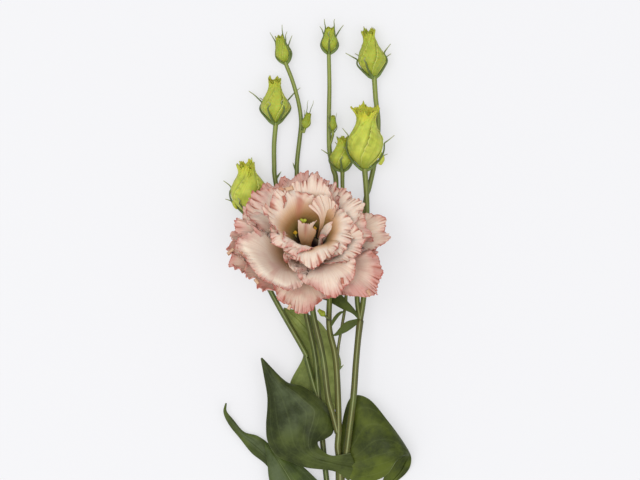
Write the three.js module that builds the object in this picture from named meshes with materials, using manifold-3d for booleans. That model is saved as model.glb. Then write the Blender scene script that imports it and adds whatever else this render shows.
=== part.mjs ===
import * as THREE from 'three';
import { mergeVertices } from 'three/addons/utils/BufferGeometryUtils.js';
import Module from 'manifold-3d';

// A cut lisianthus laid on a table: one ruffled double bloom, buds at several stages, branching stems
// and clasping leaves. +Y runs along the plant towards the upper buds, +Z is up from the table.

// Driving sizes, in mm
const LEAF_THICKNESS = 0.7;
const PETAL_THICKNESS = 0.7;
const SEAM = 0.35;                 // gap that a leaf or a bud keeps to the stem that carries it
const TABLE_CLEARANCE = 0.42;      // lowest height of a leaf's middle surface
const SEPAL_CLEARANCE = 0.8;       // least distance from a bud's corolla to the middle of a sepal
const KNOT_SEAM = 0.5;             // the same gap round a swollen node
const MAIN_STEM_RADIUS = 2.3;
const REST_DEPTH = 0.45;           // how deep a flat the lying stem has where it rests
const WELD = 0.001;                // corners closer than this are one corner
const TABLE_SIZE = 600;
const BOX_MIDDLE = [-0.455, -1.43]; // middle of the plant as drawn, which becomes the origin

// Faces spent on each kind of piece
const STEM_SIDES = 6;
const THIN_STEM_SIDES = 5;
const THIN_RADIUS = 1.28;            // a stem that starts thinner than this is a thin one
const LARGE_BUD_SIDES = 15;
const SMALL_BUD_SIDES = 10;
const WIDE_PETAL = 13;               // half width from which a petal has one more face across
const PETAL_ACROSS = 6;
const PETAL_ALONG = 4;
const PETAL_START = 0.16;            // how far along a petal it comes out of the funnel
const FUNNEL_SIDES = 9;

// The bloom: where its corolla starts, and how its axis leans away from straight up
const BLOOM_ROOT = new THREE.Vector3(-3.5, 15, 15);
const BLOOM_TILT = THREE.MathUtils.degToRad(35);
const BLOOM_SWAY = THREE.MathUtils.degToRad(-3);

const wasm = await Module();
wasm.setup();

const at = (x, y, z) => new THREE.Vector3(x, y, z);
const curve = (points) => new THREE.CatmullRomCurve3(points, false, 'catmullrom', 0.5);
const smooth = (a, b, x) => THREE.MathUtils.smoothstep(x, a, b);

// A fixed pseudo-random number from 0 to 1 for a whole number
function hash01(n) {
  const s = Math.sin(n * 12.9898) * 43758.5453;
  return s - Math.floor(s);
}

// Smooth value at t through evenly spaced values
function along(values, t) {
  return curve(values.map((value) => at(value, 0, 0))).getPoint(t).x;
}

// One closed body from shared vertices, with its faces turned outwards
function closedBody(vertices, faces) {
  let volume = 0;
  for (const [a, b, c] of faces) {
    volume += vertices[a].dot(new THREE.Vector3().crossVectors(vertices[b], vertices[c]));
  }
  const turned = volume > 0 ? faces : faces.map(([a, b, c]) => [a, c, b]);
  const geometry = new THREE.BufferGeometry().setFromPoints(vertices);
  geometry.setIndex(turned.flat());
  return geometry;
}

// A skin over rings of equal point counts, closed at both ends with a fan
function skin(rings) {
  const sides = rings[0].length;
  const vertices = rings.flat();
  const faces = [];
  for (let i = 0; i + 1 < rings.length; i += 1) {
    for (let j = 0; j < sides; j += 1) {
      const k = (j + 1) % sides;
      const [a, b, c, d] = [i * sides + j, i * sides + k, (i + 1) * sides + j, (i + 1) * sides + k];
      faces.push([a, b, d], [a, d, c]);
    }
  }
  for (const [ring, flip] of [[0, true], [rings.length - 1, false]]) {
    const centre = new THREE.Vector3();
    rings[ring].forEach((point) => centre.addScaledVector(point, 1 / sides));
    const hub = vertices.push(centre) - 1;
    for (let j = 0; j < sides; j += 1) {
      const [a, b] = [ring * sides + j, ring * sides + (j + 1) % sides];
      faces.push(flip ? [hub, b, a] : [hub, a, b]);
    }
  }
  return closedBody(vertices, faces);
}

// A thin blade of even thickness round a middle surface (u from -1 to 1 across, v from 0 to 1 along),
// split into triangles the same way on both faces
function blade(surface, across, lengthwise, thickness) {
  const columns = across + 1;
  const count = columns * (lengthwise + 1);
  const upper = [];
  const lower = [];
  for (let j = 0; j <= lengthwise; j += 1) {
    for (let i = 0; i <= across; i += 1) {
      const [u, v] = [2 * i / across - 1, j / lengthwise];
      const [u0, u1] = [Math.max(-1, u - 0.02), Math.min(1, u + 0.02)];
      const [v0, v1] = [Math.max(0, v - 0.01), Math.min(1, v + 0.01)];
      const du = surface(u1, v).sub(surface(u0, v));
      const dv = surface(u, v1).sub(surface(u, v0));
      const normal = new THREE.Vector3().crossVectors(du, dv).setLength(thickness / 2);
      const middle = surface(u, v);
      upper.push(middle.clone().add(normal));
      lower.push(middle.clone().sub(normal));
    }
  }
  const faces = [];
  for (let j = 0; j < lengthwise; j += 1) {
    for (let i = 0; i < across; i += 1) {
      const [a, b] = [j * columns + i, j * columns + i + 1];
      const [c, d] = [a + columns, b + columns];
      faces.push([a, b, d], [a, d, c]);
      faces.push([count + a, count + d, count + b], [count + a, count + c, count + d]);
    }
  }
  const rim = [];
  for (let i = 0; i < across; i += 1) rim.push(i);
  for (let j = 0; j < lengthwise; j += 1) rim.push(j * columns + across);
  for (let i = across; i > 0; i -= 1) rim.push(lengthwise * columns + i);
  for (let j = lengthwise; j > 0; j -= 1) rim.push(j * columns);
  rim.forEach((a, n) => {
    const b = rim[(n + 1) % rim.length];
    faces.push([a, count + a, count + b], [a, count + b, b]);
  });
  return closedBody([...upper, ...lower], faces);
}

function toSolid(geometry) {
  return new wasm.Manifold(new wasm.Mesh({
    numProp: 3,
    vertProperties: new Float32Array(geometry.attributes.position.array),
    triVerts: new Uint32Array(geometry.index.array),
  }));
}

function toGeometry(solid) {
  const mesh = solid.getMesh();
  const geometry = new THREE.BufferGeometry();
  geometry.setAttribute('position', new THREE.BufferAttribute(new Float32Array(mesh.vertProperties), 3));
  geometry.setIndex(new THREE.BufferAttribute(new Uint32Array(mesh.triVerts), 1));
  return geometry;
}

// The largest body of a solid, once corners closer than WELD are brought together
function mainBody(solid) {
  const welded = toSolid(mergeVertices(toGeometry(solid), WELD));
  return welded.decompose().reduce((best, next) => (next.volume() > best.volume() ? next : best));
}

// Grows pieces together into one body: what joining seals inside is filled, loose scraps are dropped
function grow(geometries) {
  return mainBody(mainBody(geometries.map(toSolid).reduce((sum, next) => sum.add(next))));
}

// Takes away whatever would lie below the table, which leaves a small flat to rest on
function restOnTable(geometry) {
  const box = new THREE.BoxGeometry(TABLE_SIZE, TABLE_SIZE, TABLE_SIZE).translate(0, 0, -TABLE_SIZE / 2);
  box.deleteAttribute('normal');
  box.deleteAttribute('uv');
  return toGeometry(toSolid(geometry).subtract(toSolid(mergeVertices(box))));
}

// Frame of a growing axis: the axis, a direction to its side in the table's plane, and one upwards
function axisFrame(axis) {
  const forward = axis.clone().normalize();
  const side = new THREE.Vector3().crossVectors(forward, at(0, 0, 1)).normalize();
  const up = new THREE.Vector3().crossVectors(side, forward).normalize();
  return { forward, side, up };
}

// A round stem through hand-placed points, its radius running through a list of values
function stem(points, radii, steps, extra = 0, askedSides = 0) {
  const sides = askedSides || (radii[0] > THIN_RADIUS ? STEM_SIDES : THIN_STEM_SIDES);
  const path = curve(points);
  const rings = [];
  for (let i = 0; i <= steps; i += 1) {
    const t = i / steps;
    const centre = path.getPoint(t);
    const { side, up } = axisFrame(path.getTangent(t));
    const radius = along(radii, t) + extra;
    rings.push(Array.from({ length: sides }, (_, j) => {
      const turn = 2 * Math.PI * (j + 0.5) / sides;
      return centre.clone().addScaledVector(side, radius * Math.cos(turn))
        .addScaledVector(up, radius * Math.sin(turn));
    }));
  }
  return skin(rings);
}

// Direction frame of the bloom
function bloomFrame() {
  const axis = at(Math.sin(BLOOM_SWAY), Math.sin(BLOOM_TILT), Math.cos(BLOOM_TILT)).normalize();
  const right = at(1, 0, 0).addScaledVector(axis, -axis.x).normalize();
  return { right, up: new THREE.Vector3().crossVectors(axis, right), axis };
}

// A point given in the bloom's own frame: x to the right, y up the plant, h along the bloom's axis
function inBloom(x, y, h) {
  const { right, up, axis } = bloomFrame();
  return BLOOM_ROOT.clone().addScaledVector(right, x).addScaledVector(up, y).addScaledVector(axis, h);
}

// Bezier profile of a petal's midrib in (radius, height), with its direction
function profile(p, t) {
  const s = 1 - t;
  const value = (i) => (
    s ** 3 * p[0][i] + 3 * s * s * t * p[1][i] + 3 * s * t * t * p[2][i] + t ** 3 * p[3][i]);
  const slope = (i) => (
    s * s * (p[1][i] - p[0][i]) + 2 * s * t * (p[2][i] - p[1][i]) + t * t * (p[3][i] - p[2][i]));
  const length = Math.hypot(slope(0), slope(1));
  return { r: value(0), h: value(1), dr: slope(0) / length, dh: slope(1) / length };
}

// Middle surface of one petal: a claw that widens to a cupped blade with a waved rim
function petalSurface(petal) {
  const { azimuth, width, ruffle, waves, k0 = 0.1, k1 = 0.01, claw = 0.22, crown = 0.3, lean = 0 } = petal;
  const phase = (i) => 2 * Math.PI * hash01(azimuth * 7 + i + 1);
  const turn = THREE.MathUtils.degToRad(azimuth);
  return (u, v) => {
    const wave = u + 0.05 * Math.sin(5 * u + phase(6));
    const t = v * (1 - crown * Math.abs(u) ** 2.4) + 0.03 * Math.sin(6 * u + phase(2)) * v ** 3;
    const { r, h, dr, dh } = profile(petal.path, Math.min(Math.max(t, 0), 1.15));
    const spread = claw + (1 - claw) * Math.sin(Math.min(v / 0.8, 1) * Math.PI / 2) ** 1.2;
    const s = u * width * spread * (1 - 0.12 * smooth(0.8, 1, v));
    let bend = k0 + (k1 - k0) * smooth(0.1, 0.9, v);
    if (Math.abs(bend) < 1e-4) bend = 1e-4;
    const edge = Math.max(v ** 4, Math.abs(u) ** 5 * smooth(0.35, 0.8, v));
    const frill = Math.sin(wave * waves * Math.PI + phase(3))
      + 0.5 * Math.sin(wave * waves * 2.1 * Math.PI + phase(4));
    const rise = (1 - Math.cos(bend * s)) / bend + ruffle * edge * frill;
    const side = Math.sin(bend * s) / bend + lean * v * v;
    const [radius, height] = [r - dh * rise, h + dr * rise];
    return inBloom(radius * Math.cos(turn) - side * Math.sin(turn),
      radius * Math.sin(turn) + side * Math.cos(turn), height);
  };
}

// Petals that open wide: outer ones roll over, low ones lift their rims, the rest spread
const ROLLED = [[0.34, 0.85], [0.70, 1.45]];
const LIFTED = [[0.45, 0.12], [0.80, 0.75]];
const SPREAD = [[0.38, 0.55], [0.70, 1.20]];
const FULL = [[0.35, 0.68], [0.65, 1.18]];

function open(azimuth, reach, height, width, ruffle, waves, [c1, c2], extra = {}) {
  const path = [[3.5, 2], [reach * c1[0], height * c1[1]], [reach * c2[0], height * c2[1]],
    [reach, height]];
  return { azimuth, width, ruffle, waves, path, ...extra };
}

// Petals of the inner cup: they stand up to a lip, then turn outwards
function cupped(azimuth, reach, height, lipRadius, lipHeight, width, ruffle, waves, k1) {
  const path = [[2.5, 3], [lipRadius * 0.5, lipHeight * 0.55], [lipRadius * 0.9, lipHeight * 1.22],
    [reach, height]];
  return { azimuth, width, ruffle, waves, path, k0: 0.13, k1 };
}

const PETALS = [
  open(262, 37, 12, 16, 1.2, 2.2, ROLLED, { lean: -2 }),
  open(323, 41, 13, 15.5, 1.5, 2.0, ROLLED),
  open(17, 41, 15, 12.5, 1.5, 1.6, SPREAD, { crown: 0.42 }),
  open(356, 33.5, 14, 12, 1.4, 2.0, SPREAD),
  open(214, 35, 15, 15, 1.4, 2.4, LIFTED),
  open(186, 40.5, 14, 12, 1.6, 2.4, LIFTED),
  open(173, 38.5, 17, 13, 1.8, 2.2, LIFTED),
  open(157, 37.5, 20, 13, 1.5, 2.2, SPREAD),
  open(123, 38, 22, 13, 1.5, 2.2, SPREAD),
  open(94, 36.5, 25, 12, 1.5, 2.2, SPREAD),
  open(49, 31.5, 23, 13, 1.5, 2.2, SPREAD),
  open(221, 34, 25, 21, 0.6, 1.6, [[0.50, 0.30], [0.82, 0.90]], { k1: 0.02, crown: 0.2 }),
  open(291, 36, 20, 17.5, 1.2, 2.6, [[0.36, 0.65], [0.72, 1.35]], { k1: 0 }),
  open(2, 30.5, 24, 13.5, 1.4, 2.0, FULL),
  open(333, 28, 25, 14, 1.0, 2.0, [[0.40, 0.50], [0.72, 1.10]], { k1: 0.03 }),
  open(141, 36, 25, 14, 1.2, 2.2, FULL, { k1: 0.02 }),
  open(76, 31, 28, 12.5, 1.3, 2.2, FULL, { k1: 0.03 }),
  open(38, 30.5, 26, 13.5, 1.3, 2.2, FULL, { k1: 0.02 }),
  cupped(119, 23.5, 34, 13, 29, 12.5, 0.8, 1.6, 0.05),
  cupped(80, 22.5, 34, 13, 29, 11.5, 0.9, 1.8, 0.05),
  cupped(152, 24, 32, 13, 28, 13, 0.8, 1.8, 0.03),
  cupped(219, 18.8, 31, 12, 30, 14, 1.1, 2.2, 0),
  cupped(281, 21.5, 29, 12, 32, 14, 1.5, 2.8, -0.02),
  cupped(352, 21.8, 31, 16, 31, 16.5, 1.1, 2.4, 0),
  cupped(60, 16, 34.5, 10, 27, 7.2, 1.5, 3.0, 0.03),
  { azimuth: 268, width: 4.9, ruffle: 0.5, waves: 1.2, path: [[2.5, 6], [3.5, 14], [0.5, 20.5], [-5.6, 26]],
    k0: 0.12, k1: 0.05, claw: 0.3, crown: -0.07 },
];

// The funnel that every petal grows out of, open down its middle
function corollaFunnel() {
  const turned = (radius, height, i) => {
    const turn = 2 * Math.PI * i / FUNNEL_SIDES;
    return inBloom(radius * Math.cos(turn), radius * Math.sin(turn), height);
  };
  const outline = [[1.8, 0.6], [4, 0.9], [6.5, 3.5], [8, 8], [6.2, 13], [4.4, 13], [3.2, 6], [2.3, 2.2]];
  const vertices = [];
  const faces = [];
  outline.forEach(([radius, height], j) => {
    const next = (j + 1) % outline.length;
    for (let i = 0; i < FUNNEL_SIDES; i += 1) {
      const k = (i + 1) % FUNNEL_SIDES;
      vertices.push(turned(radius, height, i));
      const [a, b] = [j * FUNNEL_SIDES + i, j * FUNNEL_SIDES + k];
      const [c, d] = [next * FUNNEL_SIDES + i, next * FUNNEL_SIDES + k];
      faces.push([a, b, d], [a, d, c]);
    }
  });
  return closedBody(vertices, faces);
}

// Five stamens: thin filaments from the tube's wall with long anthers
function stamens() {
  const heads = [[-6.6, 3.3, 21], [-5.6, 7.2, 18], [2.9, 6.2, 20], [6, 4, 16], [5.4, -0.5, 15]];
  return heads.flatMap(([x, y, h]) => {
    const foot = Math.hypot(x, y) / 4.2;
    const filament = stem([inBloom(x / foot, y / foot, 4), inBloom(x * 0.9, y * 0.9, 9),
      inBloom(x, y, h)], [0.55, 0.5, 0.45], 3, 0, 5);
    const anther = stem([inBloom(x, y, h - 1.6), inBloom(x, y, h), inBloom(x, y, h + 1.8)],
      [0.4, 1, 0.4], 4, 0, 6);
    return [filament, anther];
  });
}

function bloomPetals() {
  const petals = PETALS.map((petal) => {
    const surface = petalSurface(petal);
    const visible = (u, v) => surface(u, PETAL_START + (1 - PETAL_START) * v);
    const across = petal.width > WIDE_PETAL ? PETAL_ACROSS + 1 : PETAL_ACROSS;
    return blade(visible, across, PETAL_ALONG, PETAL_THICKNESS);
  });
  return toGeometry(grow([corollaFunnel(), ...petals, ...stamens()]));
}

// Ovary, leaning style and the two lobes of the stigma
function pistil() {
  const [x, y, top] = [-2.4, 7, 25];
  const column = stem([inBloom(0, 0, 0.6), inBloom(0, 0.1, 4), inBloom(-0.4, 1.6, 12),
    inBloom(-1.3, 4.2, 19), inBloom(x, y, top)], [1, 1.4, 0.8, 0.65, 0.65], 8, 0, 6);
  const lobe = (dx, dy) => stem([inBloom(x, y, top - 0.4), inBloom(x + 0.7 * dx, y + dy, top + 0.9),
    inBloom(x + 1.5 * dx, y + 1.5 * dy, top + 0.6)], [0.5, 0.75, 0.35], 3, 0, 6);
  return toGeometry(grow([column, lobe(-1.2, 0.4), lobe(1.1, 0.2)]));
}

// Buds, from the base of the corolla to its tip. Ratios are of the bud's width
const CLOSED = {
  shape: [0.25, 0.78, 1.0, 0.86, 0.68, 0.56, 0.46], pleat: 0.05, turn: 1.3, ruffle: 0.04,
};
const OPENING = {
  shape: [0.17, 0.54, 0.93, 0.86, 0.57, 0.41, 0.44], pleat: 0.07, turn: 1.3, ruffle: 0.08,
};
const NARROW = {
  shape: [0.14, 0.56, 0.93, 1.0, 0.73, 0.50, 0.52], pleat: 0.07, turn: 1.4, ruffle: 0.10,
};
const HALF_OPEN = {
  shape: [0.14, 0.52, 0.92, 1.0, 0.76, 0.57, 0.72], pleat: 0.07, turn: 1.2, ruffle: 0.12,
};
const SMALL_BUD_WIDTH = 9;
const BUDS = {
  bud_1: { base: at(-16.2, 115, 5), tip: at(-19.4, 128, 5), width: 8, form: CLOSED },
  bud_2: { base: at(5.5, 120, 5.5), tip: at(6, 132.8, 5.5), width: 9, form: CLOSED },
  bud_3: { base: at(27.9, 107.8, 5.6), tip: at(25, 130.4, 7.4), width: 14, form: OPENING },
  bud_4: { base: at(-21.2, 84.8, 5.4), tip: at(-21.6, 106.4, 7.2), width: 13.7, form: OPENING },
  bud_5: { base: at(-6.6, 81.8, 5.2), tip: at(-4.6, 89.3, 5.6), width: 4.2, form: CLOSED },
  bud_6: { base: at(7.4, 80.6, 6.6), tip: at(7.3, 88, 7), width: 3.6, form: CLOSED },
  bud_7: { base: at(12.2, 61.4, 6), tip: at(12.2, 77.4, 6.2), width: 10.9, form: OPENING },
  bud_8: { base: at(23.4, 62, 11.5), tip: at(23.9, 91.4, 15.5), width: 17.5, form: HALF_OPEN },
  bud_9: { base: at(-33.2, 38.5, 7), tip: at(-36, 64.5, 9.5), width: 17.2, form: NARROW },
  bud_10: { base: at(3.4, -11.6, 12.6), tip: at(0.2, -8.8, 12.8), width: 2.6, form: CLOSED },
};

// Radius of a bud's corolla at t along it
function budRadius({ width, form }, t) {
  return width / 2 * along(form.shape, t);
}

// A corolla still rolled up: five pleats that wind round it, with a ruffled mouth where it opens
function budCorolla(bud, number) {
  const { base, tip, width, form } = bud;
  const { forward, side, up } = axisFrame(tip.clone().sub(base));
  const length = base.distanceTo(tip);
  const rings = Math.max(4, Math.round(length / 3.6));
  const sides = width > SMALL_BUD_WIDTH ? LARGE_BUD_SIDES : SMALL_BUD_SIDES;
  const start = SEAM / length;
  const ring = (t, radiusOf, lift) => Array.from({ length: sides }, (_, j) => {
    const turn = 2 * Math.PI * j / sides;
    const winding = 5 * turn + 2 * Math.PI * form.turn * t + number;
    const pleat = Math.sin(winding) + 0.35 * Math.sin(2 * winding);
    const radius = radiusOf * (1 + form.pleat * pleat * Math.sin(Math.PI * Math.min(1, t + 0.15)));
    const flare = form.ruffle * width * lift;
    const ahead = t * length + 0.5 * flare * Math.sin(2 * winding);
    return base.clone().addScaledVector(forward, ahead)
      .addScaledVector(side, (radius + flare * 0.5 * Math.sin(winding)) * Math.cos(turn))
      .addScaledVector(up, (radius + flare * 0.5 * Math.sin(winding)) * Math.sin(turn));
  });
  const skins = [];
  for (let i = 0; i <= rings; i += 1) {
    const t = start + (1 - start) * i / rings;
    skins.push(ring(t, budRadius(bud, t), i === rings ? 1 : 0));
  }
  if (form.ruffle > 0) {
    skins.push(ring(0.94, budRadius(bud, 1) * 0.45, 0), ring(0.88, budRadius(bud, 1) * 0.3, 0));
  }
  return skin(skins);
}

// Where a sepal's rings lie along it, and half its thickness
const SEPAL_STATIONS = [0, 0.1, 0.32, 0.62, 1];
const SEPAL_DEPTH = 0.38;

// Tips of the five thin sepals round each bud
const SEPAL_TIPS = {
  bud_1: [at(-17.8, 133.4, 6), at(-24, 129.5, 5), at(-12.9, 128, 5), at(-15, 130, 8.6),
    at(-21, 127, 2.2)],
  bud_2: [at(3.3, 136.2, 7), at(8.4, 136.2, 6.5), at(0.8, 132.7, 4), at(12.8, 133.3, 5),
    at(9, 130.5, 2)],
  bud_3: [at(13.8, 119.3, 6), at(24.3, 117, 13), at(36.2, 123.8, 7), at(36.8, 119, 3),
    at(18, 119, 2.2)],
  bud_4: [at(-34.6, 100.2, 6), at(-25.7, 94.8, 13), at(-8.8, 101.8, 6), at(-16.5, 96, 12),
    at(-29.5, 97, 2.4)],
  bud_5: [at(-4.7, 95.7, 4), at(-2.5, 95.7, 3.6), at(-7, 91, 4)],
  bud_6: [at(6.5, 91.2, 8), at(9.2, 89.5, 6.4), at(5, 89, 5.6)],
  bud_7: [at(1.7, 71.1, 6), at(17.5, 74.5, 2.2), at(11, 68, 11.8), at(15.8, 69, 10.4),
    at(8, 75, 1.6)],
  bud_8: [at(12.5, 72.1, 14), at(12.2, 81.7, 14), at(34.5, 68.6, 13), at(38, 78.2, 14),
    at(24, 78, 2.6)],
  bud_9: [at(-47.2, 55.4, 8), at(-46.3, 46.3, 7), at(-40, 47, 14.5), at(-26.4, 54, 3)],
};

// A long thin sepal that hugs its bud, then stands away to its tip
function sepal(bud, tip) {
  const { base, width, form } = bud;
  const axis = bud.tip.clone().sub(base);
  const length = axis.length();
  axis.normalize();
  const reach = tip.clone().sub(base);
  const ahead = reach.dot(axis);
  const outward = reach.clone().addScaledVector(axis, -ahead);
  const far = outward.length();
  outward.normalize();
  const across = new THREE.Vector3().crossVectors(axis, outward);
  const wide = Math.min(1, width / 9);
  const rings = SEPAL_STATIONS.map((t) => {
    const height = -1 + (ahead + 1) * t;
    const beside = Math.min(1, Math.max(0, (height + 0.8) / length));
    const bulge = budRadius(bud, beside) * (1 + 1.3 * form.pleat) + form.ruffle * width * beside ** 6;
    const hug = t > 0 && height < length + 3 ? bulge + SEPAL_CLEARANCE + 0.03 * width : 0;
    const radius = Math.max(0.8 + (far - 0.8) * t ** 1.6, hug);
    const middle = base.clone().addScaledVector(axis, height).addScaledVector(outward, radius);
    const half = wide * (0.35 + 0.3 * Math.sin(Math.PI * Math.min(1, 0.35 + 0.65 * t)));
    return [[half, -SEPAL_DEPTH], [0, SEPAL_DEPTH], [-half, -SEPAL_DEPTH]].map(([a, b]) => (
      middle.clone().addScaledVector(across, a).addScaledVector(outward, b)));
  });
  return skin(rings);
}

// The last stretch of a stem, straight into its bud
const NECK_LENGTH = 2;

function neck(name) {
  const { base, tip } = BUDS[name];
  return [base.clone().addScaledVector(tip.clone().sub(base).normalize(), -NECK_LENGTH), base];
}

// Stems and branches: hand-placed middle lines with their radii
const LYING_HEIGHT = MAIN_STEM_RADIUS - REST_DEPTH;
const LOW_NODE = at(10, -126.5, 2.6);
const HIGH_NODE = at(11, -84.5, 9);
const STEMS = {
  main: { points: [at(9.3, -139, LYING_HEIGHT), at(9.6, -133, LYING_HEIGHT),
    LOW_NODE, at(10.4, -115, 4.4), at(11, -98, 7.4), HIGH_NODE],
  radii: [1, 1, 1, 0.96, 0.94, 0.96].map((k) => k * MAIN_STEM_RADIUS), steps: 10, sides: 8 },
  // behind the left leaf, to the tilted bud and to the two buds at the upper left
  left_low: { points: [LOW_NODE, at(6.5, -110, 3), at(4.3, -93.8, 3.6), at(2.3, -74.4, 5), at(0.5, -54, 6.8)],
    radii: [1.5, 1.4, 1.35, 1.35, 1.35], steps: 7 },
  left_outer: { points: [at(0.5, -54, 6.8), at(-1.8, -47.5, 6.6), at(-5.7, -33.3, 6.2),
    at(-7.2, -28.8, 6), at(-25.2, 3.5, 4), at(-31.8, 24, 4), ...neck('bud_9')],
  radii: [1.25, 1.25, 1.25, 1.25, 1.2, 1.2, 1.2], steps: 9 },
  left_inner: { points: [at(0.5, -54, 6.8), at(-0.2, -46, 7), at(-1.7, -30.5, 7), at(-6.1, -10, 5.6),
    at(-9.5, 10, 3.6)], radii: [1.25, 1.25, 1.2, 1.2, 1.2], steps: 6 },
  to_bud_4: { points: [at(-9.5, 10, 3.6), at(-17, 35, 2), at(-21.3, 55.6, 1.8), at(-21.9, 64.5, 2),
    at(-21.9, 74, 3), ...neck('bud_4')], radii: [1.1, 1.1, 1.1, 1.1, 1.15, 1.3], steps: 9 },
  to_bud_1: { points: [at(-9.5, 10, 3.6), at(-10.8, 35, 2), at(-10.6, 58, 2), at(-10.4, 65.8, 2.2),
    at(-8.8, 79.8, 3), at(-8.5, 86.2, 3.4), at(-9.8, 95, 3.8), at(-12.7, 105.3, 4.4), ...neck('bud_1')],
  radii: [1.1, 1.1, 1.05, 1.05, 1, 0.95, 0.95, 0.95, 1], steps: 9 },
  to_bud_5: { points: [at(-8.9, 79.2, 3), at(-8, 80.4, 4.2), ...neck('bud_5')],
    radii: [0.6, 0.6, 0.7], steps: 3 },
  // to the bloom
  bloom_stalk: { points: [at(9.7, -70, 12), at(7.3, -60.5, 13.2), at(5, -52, 13.6), at(2.4, -31.9, 12.4),
    at(-2.5, -10, 9), at(-2.9, 3, 6.6), inBloom(0, 0, -4), inBloom(0, 0, 0.25)],
  radii: [1.4, 1.4, 1.4, 1.4, 1.4, 1.5, 1.7, 2.6], steps: 9 },
  // the branch in front of the left leaf's edge, to the buds in the middle
  middle: { points: [HIGH_NODE, at(9.8, -77, 10.6), at(10.3, -67.5, 12), at(9.6, -43.5, 11.6),
    at(8.4, -30.5, 10.8), at(5.6, -17.5, 8.6), at(5.8, -2.5, 5.6), at(6.8, 20, 3.2), at(9, 53, 2.2),
    at(7.5, 61.9, 2), at(5.9, 69.6, 2.2), at(5.5, 77.2, 3), at(5.5, 90, 4.2), at(5.7, 102.8, 4.8),
    ...neck('bud_2')],
  radii: [1.6, 1.5, 1.5, 1.45, 1.4, 1.35, 1.3, 1.25, 1.2, 1.15, 1.1, 1.05, 1, 0.95, 1], steps: 17 },
  to_bud_6: { points: [at(5.7, 72.6, 2.4), at(6.8, 76, 4.2), ...neck('bud_6')],
    radii: [0.6, 0.6, 0.7], steps: 4 },
  to_bud_7: { points: [at(9.3, -37.5, 11.2), at(10.3, -26.2, 9.6), at(13, -10.8, 7), at(14, -0.7, 5),
    at(13.4, 25, 3), at(12.3, 51, 3.2), ...neck('bud_7')],
  radii: [0.7, 0.7, 0.75, 0.8, 0.9, 1, 1.1], steps: 9 },
  to_bud_10: { points: [at(5.8, -14.4, 8.2), at(4.9, -13.2, 11), ...neck('bud_10')],
    radii: [0.5, 0.45, 0.5], steps: 3 },
  // the right branch, with its fork below the bloom
  right: { points: [HIGH_NODE, at(13.7, -82.4, 10.4), at(15.7, -67.7, 11.4), at(17.7, -51.6, 12),
    at(18.8, -36.3, 12), at(19.9, -23.8, 11.4), at(21, -14, 10.4)],
  radii: [1.5, 1.6, 1.6, 1.55, 1.5, 1.5, 1.7], steps: 9 },
  to_bud_8: { points: [at(21, -14, 10.4), at(22.7, -3, 8.6), at(24.2, 18, 6), at(24.4, 41.5, 6.4),
    at(24, 51.7, 8.4), ...neck('bud_8')], radii: [1.35, 1.3, 1.25, 1.25, 1.3, 1.5], steps: 9 },
  to_bud_3: { points: [at(21, -14, 10.4), at(19.5, -2.5, 8), at(20, 18, 3), at(23.7, 45.4, 1.9),
    at(25.6, 52.4, 1.9), at(28.5, 66.4, 1.9), at(30.1, 83.6, 2.6), at(28.8, 96.4, 3.8), ...neck('bud_3')],
  radii: [1.3, 1.2, 1.15, 1.15, 1.15, 1.15, 1.15, 1.2, 1.35], steps: 12 },
};

// Surface through hand-placed ribs that run from a leaf's foot to its tip
function leafSurface(ribs) {
  const lines = ribs.map((rib) => curve(rib.map(([x, y, z]) => at(x, y, z))));
  return (u, v) => {
    const point = curve(lines.map((line) => line.getPoint(v))).getPoint((u + 1) / 2);
    point.z = Math.max(point.z, TABLE_CLEARANCE);
    return point;
  };
}

// Small clasping leaves at the forks, from foot to tip
const BRACTS = [
  [[[20, -13.5, 10.6], [17, -10.5, 10.6], [12.5, -8.5, 8.4], [9, -6.6, 5.6], [6, -5, 3.6],
    [2.5, -3.5, 3]],
    [[20.5, -13, 10.6], [16.8, -8.5, 11], [11.8, -5, 8.8], [8.4, -4.4, 5.8], [5.6, -4, 3.6],
      [2.5, -3.4, 3]],
    [[21.2, -12.5, 10.6], [16.5, -6.5, 10.4], [11, -0.8, 8.2], [7.8, -0.9, 5.4], [5, -1.8, 3.6],
      [2.6, -3.2, 3]]],
  [[[20, -13, 11], [13.5, -15, 11.6], [8.8, -20.3, 11.6], [6.9, -21.5, 11.8]],
    [[20.3, -14, 11], [14, -17.4, 12], [9.5, -20.9, 12], [6.8, -21.6, 11.8]],
    [[20.6, -15.2, 11], [14.5, -19.5, 11.4], [10, -21.3, 11.6], [6.9, -21.8, 11.8]]],
  [[[5.9, -16.6, 9.2], [7.7, -12.6, 10], [10.6, -9.9, 9.8], [13, -9.3, 9.2]],
    [[6.3, -17, 9.2], [8.5, -13, 10.2], [11, -10.4, 10], [13.1, -9.5, 9.2]],
    [[6.7, -17.4, 9.2], [9.3, -13.4, 10], [11.4, -10.9, 9.8], [13.1, -9.8, 9.2]]],
];

// Stubby scales on the stems: foot and tip
const SCALES = [
  [at(-10.5, 59.5, 2.2), at(-12.6, 64.6, 3.4)],
  [at(-21.4, 56, 2), at(-18.4, 60.2, 3)],
  [at(9.4, -39.4, 11.4), at(12.8, -36, 12.6)],
];

// The calyx under the open bloom, turned back from its petals
const BARE = { shape: [0, 0], pleat: 0, ruffle: 0 };
const CALYX = { base: inBloom(0, 0, 0), tip: inBloom(0, 0, 6), width: 9, form: BARE };
const CALYX_TIPS = [20, 92, 164, 236, 308].map((azimuth) => {
  const turn = THREE.MathUtils.degToRad(azimuth);
  return inBloom(15 * Math.cos(turn), 15 * Math.sin(turn), -2.6);
});

// Swollen nodes that the leaves clasp: centre and radius
const KNOTS = { high: [HIGH_NODE, 2.6], low: [LOW_NODE, 2.7] };

function knot(name, extra = 0) {
  const [centre, radius] = KNOTS[name];
  const ball = new THREE.SphereGeometry(radius + extra, 8, 5).translate(centre.x, centre.y, centre.z);
  ball.deleteAttribute('normal');
  ball.deleteAttribute('uv');
  return mergeVertices(ball);
}

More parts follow.
